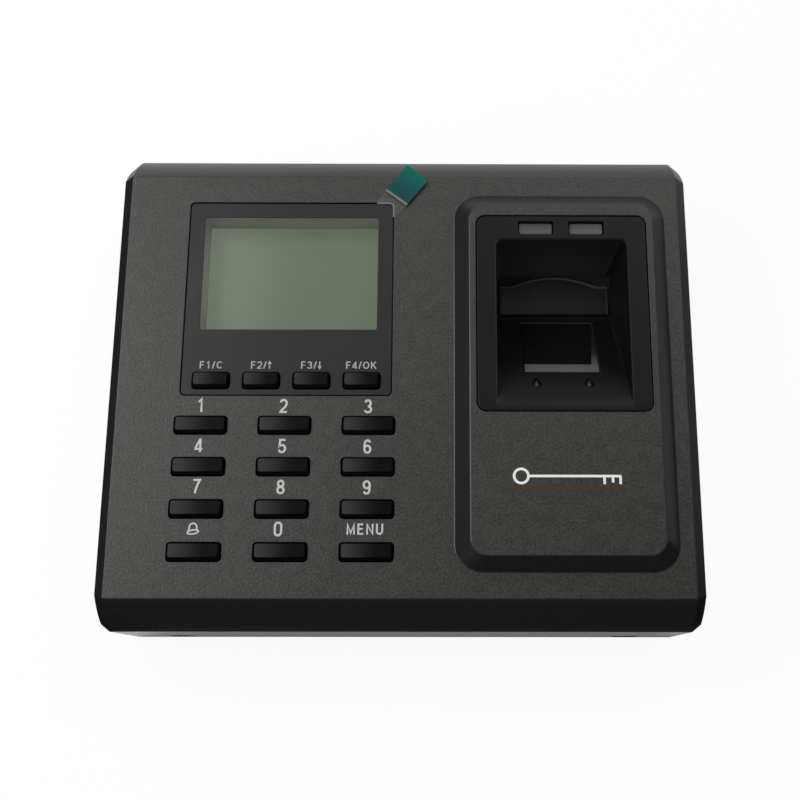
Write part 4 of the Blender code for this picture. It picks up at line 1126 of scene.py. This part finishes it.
def recess_floor_painted_light_and_shade():
    """The floor is painted dark in front of the stop, as shade, and paler behind it, as light."""
    return graded_black("recess_floor_painted_light_and_shade", "Y", 0.0270, 0.0350, 0.0060, 0.0170, 0.02)


scanner_black = recess_black_painted_light()
print("recess painted with light and shade")

# %% Bezel
MOUTH_START = RAMP_CORNER_STEPS + 1
MOUTH_END = MOUTH_START + 2
MOUTH_DEPTH = 0.0014
DIMPLE_DEPTH = 0.0008
DIMPLE_SHRINK = 0.0002
BEZEL_EDGE = 0.0004
BEZEL_RADIUS = 0.0027
BEZEL_FLOOR = 0.0025
LIGHT_LIP = 0.0005
LIGHT_RADIUS = 0.0002
LIGHT_DEPTH = 0.0030
LIGHT_STEPS = 2


def light_area(name):
    """The part of a light window that shows; a lip of the bezel covers its lower edge."""
    x0, x1, y0, y1 = area_of(name)
    return x0, x1, y0 + LIGHT_LIP, y1


def open_part(loops, low, high):
    """The loop round the part of the ramp between two rows that was left open."""
    right = [loop[MOUTH_END] for loop in loops[low + 1:high]]
    left = [loop[MOUTH_START] for loop in reversed(loops[low + 1:high])]
    bottom = loops[high][MOUTH_START:MOUTH_END + 1]
    return loops[low][MOUTH_START:MOUTH_END + 1] + right + bottom[::-1] + left


def cast_recess(mould):
    """The recess with its dimples and the mouth for the glass; gives back the loop round its top."""
    up_ramp = (0.0, math.sin(RAMP), math.cos(RAMP))
    mouth_top = MOUTH[0] * math.sin(RAMP)
    mouth_foot = MOUTH[1] * math.sin(RAMP)
    depths = [0.0, 0.00003, 0.0001, 0.00021, 0.00035, 0.0005, 0.0008, 0.0012, bend_foot, 0.003, 0.005,
              mouth_top, 0.012, 0.016, 0.020, mouth_foot,
              recess_depth - RECESS_FOOT, recess_depth - RECESS_FOOT / 2, recess_depth]
    loops = [mould.loop(recess_ring(depth)) for depth in depths]
    bend, top, foot = [depths.index(depth) for depth in (bend_foot, mouth_top, mouth_foot)]
    for row, (first, second) in enumerate(zip(loops, loops[1:])):
        leave = range(MOUTH_START, MOUTH_END) if bend <= row < foot else ()
        mould.join(first, second, int(row > foot), leave)
    mould.lid([loops[-1]], 1)
    dimples = []
    for x in (-NIB_REACH, NIB_REACH):
        rings = [on_ramp(teardrop(x), 0.0), on_ramp(teardrop(x, DIMPLE_SHRINK), -DIMPLE_DEPTH)]
        first, last = mould.tower(rings)
        mould.lid([last], up=up_ramp)
        dimples.append(first)
    mould.lid([open_part(loops, bend, top)] + dimples, up=up_ramp)
    mouth = open_part(loops, top, foot)
    mouth_floor = mould.loop([v.co - MOUTH_DEPTH * Vector(up_ramp) for v in mouth])
    mould.join(mouth, mouth_floor, 2)
    mould.lid([mouth_floor], up=up_ramp)
    return loops[0]


def scanner_bezel():
    mould = Mould()
    holes = [cast_recess(mould)]
    floor_z = pad_z - recess_depth - BEZEL_FLOOR
    outer, skirt = mould.tower(block_rings(bezel_area, BEZEL_RADIUS, BEZEL_EDGE, pad_z, floor_z))
    mould.lid([skirt])
    for name in ("led_window_left", "led_window_right"):
        area = grow(light_area(name), GAP)
        first, last = mould.tower(slot_rings(area, LIGHT_RADIUS, pad_z, pad_z - LIGHT_DEPTH, LIGHT_STEPS))
        mould.lid([last])
        holes.append(first)
    mould.lid([outer] + holes)
    # The walls of the mouth get a paler tone: painted light, against the shade deep in the recess.
    lip = smooth_plastic("mouth_edge_painted_light", (0.045, 0.045, 0.047), 0.5, 0.05)
    finishes = [scanner_black, recess_floor_painted_light_and_shade(), lip]
    mould.cast("scanner_bezel_form", finishes, replaced=["scanner_bezel"])


scanner_bezel()

# %% [markdown]
# ## Fingertip stop
#
# A low plate with an arched back edge tells the fingertip how far to go. The solid gives its plain
# form. The plate is cast anew with a softer arch and a bevel. The plate is paler at its left end and
# its bevel paler round the arch: both tones are painted light.

# %% Stop
STOP_ARCH = (0.0146, 0.0032)
STOP_ARCH_STEPS = 12
STOP_ARCH_POWER = 1.12
STOP_BEVEL = (0.0007, 0.0004)


def stop_outline(inset):
    """A rectangle whose back edge swells to a soft arch."""
    x0, x1, y0, y1 = grow(area_of("fingertip_stop"), -inset)
    y1 -= STOP_ARCH[1]
    points = [(x0, y0), (x1, y0), (x1, y1)]
    for step in range(2 * STOP_ARCH_STEPS + 1):
        share = 1 - step / STOP_ARCH_STEPS
        rise = STOP_ARCH[1] * (1 - share * share) ** STOP_ARCH_POWER
        points.append((pad_x + share * (STOP_ARCH[0] - inset), y1 + rise))
    return points + [(x0, y1)]


def fingertip_stop():
    low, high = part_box("fingertip_stop")
    mould = Mould()
    first, brim = mould.tower([at(stop_outline(0.0), low.z), at(stop_outline(0.0), high.z - STOP_BEVEL[1])])
    top = mould.loop(at(stop_outline(STOP_BEVEL[0]), high.z))
    mould.join(brim, top, 1, (0,))
    mould.skin.faces.new((brim[0], brim[1], top[1], top[0]))
    mould.lid([first])
    mould.lid([top])
    shoulder = high.y - STOP_ARCH[1]
    # Painted light: the plate is paler at its left end.
    plate = graded_black("stop_black", "X", pad_x - 0.020, pad_x + 0.004, 0.0280, 0.0132, 0.10)
    # Painted highlight: the bevel turns paler towards the arch.
    painted_bevel_highlight = graded_black("stop_edge", "Y", shoulder - 0.0010, shoulder, 0.0360, 0.0640, 0.10)
    mould.cast("fingertip_stop_form", [plate, painted_bevel_highlight], replaced=["fingertip_stop"])


fingertip_stop()

# %% [markdown]
# ## Glass and lights
#
# A dark glass closes the mouth in the ramp, and two frosted lenses stand above the recess. Glass
# could be a clear block over a black hole. From outside only its dark field and its pale edge are
# seen, so two finishes on one thin plate give the same look. The pale edge is painted light, for
# the light that a sloped facet at the glass's edge reflects.

# %% Glass and light finishes
def sensor_glass():
    material, place = new_finish("sensor_glass")
    smear = speckle(place, 0.006, 4.0)
    return close_finish(material, {
        "Base Color": smear.blend(colour(0.003), colour(0.006)),
        "Roughness": smear * 0.12 + 0.04,
        "Specular IOR Level": 0.2,
    })


def glass_edge_painted_light():
    """Painted light for the glass's sloped edge: pale at its near end and dark further along the ramp."""
    material, place = new_finish("glass_edge_painted_light")
    frost = speckle(place, 0.0012)
    pale = frost.blend(colour(0.062, 0.066, 0.065), colour(0.078, 0.082, 0.081))
    return close_finish(material, {
        "Base Color": place.part("Y").ease(0.0042, 0.0130).blend(pale, colour(0.006)),
        "Roughness": frost * 0.1 + 0.35,
    })


def light_window():
    """Frosted plastic with fine upright ribs, with painted light and shade: paler at its lower edge and
    darker towards its upper edge.
    """
    material, place = new_finish("light_window")
    ribs = speckle(place.stretched((1.0, 0.12, 1.0)), 0.0007)
    # Painted shade: darker towards the upper edge, under the slot's upper wall.
    shade = place.out("Generated").part("Y").ease(-0.1, 1.1) * 0.65 + ribs * 0.35
    return close_finish(material, {
        "Base Color": shade.blend(colour(0.098, 0.096, 0.092), colour(0.022)),
        "Roughness": ribs * 0.1 + 0.25,
        "Specular IOR Level": 0.2,
    })


frosted = light_window()
print("glass and lenses tinted")

# %% Sensor glass and light lenses
GLASS_SUNK = 0.0004
GLASS_UNDER = 0.0013
PALE_EDGE_END = 0.01805
PALE_EDGE_RIGHT = 0.00995
GLASS_CUT = 0.001
LENS_SUNK = 0.0010
LENS_TALL = 0.0018
LENS_RADII = (0.0002, 0.0005)


def window_of_glass():
    """The sensor's glass: a dark field with a pale edge, painted light, at its lower end and its right side.
    """
    mould = Mould()
    left_x, right_x = -MOUTH_HALF + GAP, MOUTH_RIGHT - GAP
    low, high = MOUTH[0] + GAP, MOUTH[1] - GAP
    corners = [(left_x, low), (right_x, low), (right_x, high - GLASS_CUT), (right_x, high), (left_x, high)]
    top = mould.loop(on_ramp(corners, -GLASS_SUNK))
    left, right = mould.loop(on_ramp([(left_x, PALE_EDGE_END), (PALE_EDGE_RIGHT, PALE_EDGE_END)], -GLASS_SUNK))
    foot = mould.loop(on_ramp(corners, -GLASS_UNDER))
    faces = mould.skin.faces
    faces.new((left, right, top[2], top[3], top[4]))
    faces.new((top[0], top[1], right, left)).material_index = 1
    faces.new((top[1], top[2], right)).material_index = 1
    for i in range(4):
        faces.new((top[i], top[i + 1], foot[i + 1], foot[i]))
    faces.new((top[4], left, top[0], foot[0], foot[4]))
    faces.new(foot)
    mould.cast("sensor_window", [sensor_glass(), glass_edge_painted_light()], replaced=["sensor_prism"])


def light_lens(name, node):
    """A short frosted lens, set back in its slot in the bezel."""
    area = light_area(node)
    top = pad_z - LENS_SUNK
    rings = [at(outline(area, LENS_RADII[0], LIGHT_STEPS), top - LENS_TALL)]
    for inset, down in reversed(soft_edge(EDGE)):
        rings.append(at(outline(grow(area, -inset), LENS_RADII[1], LIGHT_STEPS), top - down))
    mould = Mould()
    mould.slab(rings)
    mould.cast(name, [frosted], replaced=[node])


window_of_glass()
light_lens("light_lens_left", "led_window_left")
light_lens("light_lens_right", "led_window_right")

# %% [markdown]
# ## Finger nibs
#
# Two small drops stand on the ramp below the glass, so that a finger is felt to lie straight. A
# scaled ball would lack their pointed end, so each is a tower of rings that shrink as they rise.

# %% Nibs
NIB_STEPS = ((0.0006, -0.0009), (0.0007, -0.0003), (0.0009, 0.0001), (0.0011, 0.0003), (0.0013, 0.0004))


def nib(name, x):
    mould = Mould()
    mould.bar([on_ramp(teardrop(x, shrink), rise) for shrink, rise in NIB_STEPS])
    mould.cast(name, [nib_black])


nib_black = smooth_plastic("nib_black", (0.020, 0.020, 0.020), 0.40, 0.25)
nib("nib_left", -NIB_REACH)
nib("nib_right", NIB_REACH)

# %% [markdown]
# ## Protective film
#
# A thin clear film still covers the display. A strip of it runs past the panel's corner to a
# coloured pull tab that stands a little off the face. Cloth simulation could bend such a film. This
# one lies flat and tight, so thin slabs are enough, with one fold where the strip dips.

# %% Film finishes
TAB_WAY = (0.45, 0.89, 0.0)


def tab_plastic():
    """Teal that turns paler and greener along the tab, away from the strip."""
    material, place = new_finish("tab_teal")
    drift = speckle(place, 0.004)
    along = place.node("ShaderNodeVectorMath", {"operation": "DOT_PRODUCT"}, {0: place, 1: TAB_WAY}, out=1)
    shade = along.ease(0.054, 0.064) * 0.85 + drift * 0.15
    return close_finish(material, {
        "Base Color": shade.blend(colour(0.010, 0.050, 0.052), colour(0.003, 0.112, 0.086)),
        "Roughness": drift * 0.1 + 0.35,
        "Specular IOR Level": 0.06,
    })


def hazy_film():
    """The doubled strip is a little milky."""
    material, place = new_finish("film_haze")
    milk = speckle(place, 0.003)
    through = place.node("ShaderNodeBsdfTransparent", {}, {"Color": colour(1.0)})
    skin = place.node("ShaderNodeBsdfPrincipled", {}, {
        "Base Color": milk.blend(colour(0.085, 0.082, 0.078), colour(0.105, 0.101, 0.096)),
        "Roughness": milk * 0.1 + 0.35})
    return coat(material, (milk * 0.2 + 0.26).between(through, skin))


clear_film = clear_plastic("film", (1.0, 1.0, 1.0), 0.02)
print("film cleared")

# %% Film and pull tab
FILM_MARGIN = 0.0033
FILM_CORNER = 0.007
FILM_THICK = 0.00008
STRIP_LIFT = 0.00005
STRIP_THICK = 0.00006
STRIP_ENDS = (-0.0092, 0.0527)
TAB = ((0.00087, 0.07060), (-0.00557, 0.06234), (0.00118, 0.05726), (0.00748, 0.06501))
TAB_LIFT = 0.0006
TAB_THICK = 0.00015
HEM_WIDTH = 0.0008
HEM_LIFT = 0.0002
HEM_THICK = 0.00045


def sheet_of(name, points, z, thick, material, replaced=()):
    mould = Mould()
    mould.slab([at(points, z), at(points, z + thick)])
    mould.cast(name, [material], replaced=replaced)


film_z = face_z + GAP
x0, x1, y0, y1 = grow(area_of("display_window"), FILM_MARGIN)
film_plan = [(x0, y0), (x1, y0), (x1, y1 - FILM_CORNER), (x1 - FILM_CORNER, y1), (x0, y1)]
sheet_of("film_sheet", film_plan, film_z, FILM_THICK, clear_film, ["protective_film"])
_, groove_x, _, groove_y = grow(panel_area, GAP + STRIP_LIFT)
tab = [Vector(corner) for corner in TAB]
far_left, near_left, near_right, _ = tab
strip = [(groove_x, STRIP_ENDS[1]), near_right, near_left, (STRIP_ENDS[0], groove_y), (groove_x, groove_y)]
sheet_of("film_strip", strip, face_z + STRIP_LIFT, STRIP_THICK, hazy_film())
sheet_of("pull_tab", tab, film_z + TAB_LIFT, TAB_THICK, tab_plastic())
hem = (near_left - far_left).normalized() * HEM_WIDTH
hem_plan = [near_left, near_left + hem, near_right + hem, near_right]
hem_grey = smooth_plastic("hem_grey", (0.13, 0.135, 0.135), 0.4)
sheet_of("tab_hem", hem_plan, film_z + HEM_LIFT, HEM_THICK, hem_grey)

# %% Crease
CREASE_OUT = 0.00015
CREASE_RADIUS = 0.0013
CREASE_STEPS = 8
CREASE_ENDS = (0.0034, 0.0040)
CREASE_HALF = 0.00026
CREASE_FOOT = 0.0001
CREASE_RISE = 0.00012


def film_crease():
    """Where the strip crosses the groove round the panel it dips, and the fold catches the light."""
    _, right, _, top = grow(panel_area, CREASE_OUT - CREASE_RADIUS)
    corner = corner_arc(right, top, CREASE_RADIUS, 0, CREASE_STEPS)
    start = (corner[0][0], corner[0][1] - CREASE_ENDS[0])
    end = (corner[-1][0] - CREASE_ENDS[1], corner[-1][1])
    path = [Vector(point) for point in [start] + corner + [end]]
    low = face_z - CREASE_FOOT
    high = face_z + CREASE_RISE
    rings = []
    for i, point in enumerate(path):
        along = path[min(i + 1, len(path) - 1)] - path[max(i - 1, 0)]
        side = along.normalized().orthogonal() * CREASE_HALF
        left, right = point - side, point + side
        rings.append([(*left, low), (*left, high), (*right, high), (*right, low)])
    mould = Mould()
    mould.bar(rings)
    mould.cast("film_crease", [smooth_plastic("crease_grey", (0.13, 0.13, 0.128), 0.3)])


film_crease()

# %% [markdown]
# ## Printed legends
#
# Numbers, key names and small signs are printed in pale ink above the keys. A print could be a
# pattern in the cover's finish. Here it is a skin of real ink, a few hundredths of a millimetre
# thick, so that its edges stay sharp from close by. The pad carries a plain key sign over a muted
# stripe, printed in the same way.

# %% Ink
INK = 0.00004


def legend_ink(name, tone):
    material, place = new_finish(name)
    wear = speckle(place, 0.0008)
    return close_finish(material, {
        "Base Color": wear.blend(toned(tone, 0.85), colour(*tone)),
        "Roughness": wear * 0.1 + 0.5,
        "Specular IOR Level": 0.2,
    })


pale_ink = legend_ink("legend_ink", (0.48, 0.48, 0.47))
label_ink = legend_ink("label_ink", (0.35, 0.35, 0.34))
sign_ink = legend_ink("sign_ink", (0.76, 0.76, 0.75))
red_ink = legend_ink("stripe_ink", (0.056, 0.026, 0.019))
print("four inks mixed")

# %% Strokes of the letters
DIGIT = 0.56


def arc(x, y, rx, ry, start, end, steps=8):
    """Points of an arc, with angles in degrees."""
    points = []
    for step in range(steps + 1):
        turn = math.radians(start + (end - start) * step / steps)
        points.append((x + rx * math.cos(turn), y + ry * math.sin(turn)))
    return points


def ring(x, y, rx, ry, steps):
    return arc(x, y, rx, ry, 0, 360, steps)


# Each sign stands on a box one high, given as its width and the paths of its strokes.
SIGNS = {
    "0": (DIGIT, [arc(0.28, 0.72, 0.22, 0.22, 0, 180) + arc(0.28, 0.28, 0.22, 0.22, 180, 360)
                  + [(0.5, 0.72)]]),
    "1": (DIGIT, [[(0.12, 0.74), (0.26, 0.82), (0.33, 0.94), (0.33, 0.0)]]),
    "2": (DIGIT, [arc(0.28, 0.69, 0.22, 0.25, 165, -25)
                  + [(0.40, 0.42), (0.10, 0.14), (0.07, 0.06), (0.53, 0.06)]]),
    "3": (DIGIT, [arc(0.27, 0.72, 0.20, 0.22, 160, -80), arc(0.27, 0.28, 0.23, 0.22, 90, -160, 10)]),
    "4": (DIGIT, [[(0.40, 0.0), (0.40, 0.98)], [(0.38, 0.92), (0.07, 0.30), (0.07, 0.24), (0.55, 0.24)]]),
    "5": (DIGIT, [[(0.50, 0.94), (0.14, 0.94), (0.09, 0.50)] + arc(0.27, 0.32, 0.23, 0.26, 130, -160, 10)]),
    "6": (DIGIT, [arc(0.29, 0.66, 0.21, 0.28, 28, 180) + [(0.075, 0.30)], ring(0.28, 0.31, 0.21, 0.25, 16)]),
    "7": (DIGIT, [[(0.05, 0.94), (0.51, 0.94), (0.36, 0.60), (0.24, 0.25), (0.20, 0.0)]]),
    "8": (DIGIT, [arc(0.28, 0.73, 0.19, 0.21, -90, 270, 14), arc(0.28, 0.28, 0.22, 0.22, 90, 450, 14)]),
    "9": (DIGIT, [arc(0.27, 0.34, 0.21, 0.28, 208, 360) + [(0.485, 0.70)], ring(0.28, 0.69, 0.21, 0.25, 16)]),
    "C": (0.68, [arc(0.36, 0.5, 0.29, 0.43, 42, 318, 12)]),
    "E": (0.58, [[(0.52, 0.94), (0.09, 0.94), (0.09, 0.06), (0.54, 0.06)], [(0.09, 0.52), (0.48, 0.52)]]),
    "F": (0.56, [[(0.52, 0.94), (0.09, 0.94), (0.09, 0.0)], [(0.09, 0.50), (0.46, 0.50)]]),
    "K": (0.66, [[(0.09, 0.0), (0.09, 1.0)], [(0.58, 1.0), (0.12, 0.42)], [(0.27, 0.60), (0.60, 0.0)]]),
    "M": (0.76, [[(0.09, 0.0), (0.09, 0.95), (0.38, 0.12), (0.67, 0.95), (0.67, 0.0)]]),
    "N": (0.66, [[(0.09, 0.0), (0.09, 0.93), (0.57, 0.07), (0.57, 1.0)]]),
    "O": (0.74, [ring(0.37, 0.5, 0.30, 0.43, 18)]),
    "U": (0.66, [[(0.09, 1.0)] + arc(0.33, 0.32, 0.24, 0.26, 180, 360) + [(0.57, 1.0)]]),
    "/": (0.34, [[(0.04, 0.0), (0.30, 1.0)]]),
    "up": (0.40, [[(0.20, 0.0), (0.20, 0.75)], [(0.08, 0.72), (0.20, 0.97), (0.32, 0.72), (0.08, 0.72)]]),
    "down": (0.40, [[(0.20, 1.0), (0.20, 0.25)], [(0.08, 0.28), (0.20, 0.03), (0.32, 0.28), (0.08, 0.28)]]),
    "bell": (1.0, [[(0.10, 0.24), (0.19, 0.40)] + arc(0.5, 0.62, 0.29, 0.33, 190, -10, 12)
                   + [(0.80, 0.44), (0.92, 0.32)],
                   [(x, y + 0.14 * (x - 0.5)) for x, y in ring(0.51, 0.25, 0.42, 0.16, 20)]]),
    "key": (6.6, [ring(0.55, 0.5, 0.43, 0.43, 20), [(0.98, 0.5), (6.5, 0.5)],
                  [(5.5, 0.5), (5.5, 0.02)], [(6.0, 0.5), (6.0, 0.12)], [(6.45, 0.5), (6.45, 0.02)]]),
}
print(len(SIGNS), "signs drawn")

# %% Printing
ENDS_MEET = 0.001
MITRE_LIMIT = 0.45
LAYER = 0.12


def stroke(mould, path, width, place):
    """One solid stroke of ink along a path, with mitred corners."""
    closed = (Vector(path[0]) - Vector(path[-1])).length < ENDS_MEET
    points = [Vector(point) for point in (path[:-1] if closed else path)]
    loops = []
    for i, point in enumerate(points):
        before = points[i - 1] if closed or i > 0 else None
        after = points[(i + 1) % len(points)] if closed or i < len(points) - 1 else None
        ways = [way.normalized() for way in (before and point - before, after and after - point) if way]
        along = sum(ways, Vector((0.0, 0.0))).normalized()
        side = Vector((-along.y, along.x))
        bend = max(MITRE_LIMIT, abs(side.dot(Vector((-ways[0].y, ways[0].x)))))
        reach = side * (width / 2 / bend)
        left, right = point + reach, point - reach
        loops.append(mould.loop([place(left, 0), place(left, INK), place(right, INK), place(right, 0)]))
    for first, second in zip(loops, loops[1:] + (loops[:1] if closed else [])):
        mould.join(first, second)
    if not closed:
        mould.skin.faces.new(loops[0])
        mould.skin.faces.new(loops[-1])


def print_signs(name, signs, x, y, z, ink, height, weight, width_share=1.0, space=0.10):
    """A row of signs, centred on a point; strokes that cross lie a little above one another."""
    mould = Mould()
    total = sum(SIGNS[sign][0] + space for sign in signs) - space
    start = -total / 2

    def place(point, up):
        return (x + (start + point.x) * height * width_share, y + (point.y - 0.5) * height,
                z + up * (1 + LAYER * layer))

    for sign in signs:
        wide, paths = SIGNS[sign]
        for layer, path in enumerate(paths):
            stroke(mould, path, weight, place)
        start += wide + space
    mould.cast(name, [ink])


print("ink lies", INK / MM, "mm thick")

# %% Legends
LEGEND_RISE = 0.0060
LEGEND_DRIFT = 0.022
COLUMN_SHIFTS = ((-0.00022, 0.0003), (-0.0005, 0.0001), (-0.00022, 0.0))
COLUMNS = 3
LAST_ROW = 3
LAST_ROW_SHIFT = -0.0003
NUMBER_PRINT = {"height": 0.0043, "weight": 0.15}
MENU_PRINT = {"height": 0.0032, "weight": 0.165, "width_share": 1.05, "space": 0.20}
BELL_PRINT = {"height": 0.0037, "weight": 0.12, "width_share": 1.05}
OWN_SIGNS = {"menu": ("MENU", MENU_PRINT), "bell": (["bell"], BELL_PRINT)}
LABEL_PRINT = {"height": 0.0023, "weight": 0.145, "width_share": 1.16, "space": 0.17}
LABEL_SHIFT = -0.0002
LABEL_Y = 0.0040
LABEL_DROP = 0.0002
first_row = area_of("key_1")[3]
reading_order = [f"key_{n}" for n in range(1, 10)] + ["key_bell", "key_0", "key_menu"]
for count, name in enumerate(reading_order):
    x, y = middle(area_of(name))
    row, column = divmod(count, COLUMNS)
    shift_x, shift_y = COLUMN_SHIFTS[column]
    x += shift_x + LAST_ROW_SHIFT * (row == LAST_ROW)
    y += shift_y * (row < LAST_ROW) + LEGEND_RISE + LEGEND_DRIFT * (first_row - area_of(name)[3])
    sign = name.removeprefix("key_")
    signs, style = OWN_SIGNS.get(sign, (sign, NUMBER_PRINT))
    print_signs("legend_" + sign, signs, x, y, face_z, pale_ink, **style)
labels = (["F", "1", "/", "C"], ["F", "2", "/", "up"], ["F", "3", "/", "down"], ["F", "4", "/", "O", "K"])
for name, signs in zip(function_names, labels):
    x = middle(area_of(name))[0] + LABEL_SHIFT
    print_signs("legend_" + name, signs, x, LABEL_Y, face_z - LABEL_DROP, label_ink, **LABEL_PRINT)

# %% Sign on the pad
KEY_SIGN_PRINT = {"height": 0.0050, "weight": 0.15}
KEY_SIGN_Y = -0.0312
STRIPE_ENDS = (-0.0170, 0.0165)
STRIPE_Y = -0.0347
STRIPE_WIDTH = 0.0014
print_signs("key_sign", ["key"], pad_x, KEY_SIGN_Y, pad_z, sign_ink, **KEY_SIGN_PRINT)
mould = Mould()
stroke(mould, [(pad_x + end, STRIPE_Y) for end in STRIPE_ENDS], STRIPE_WIDTH,
       lambda point, up: (point.x, point.y, pad_z + up))
mould.cast("key_stripe", [red_ink])
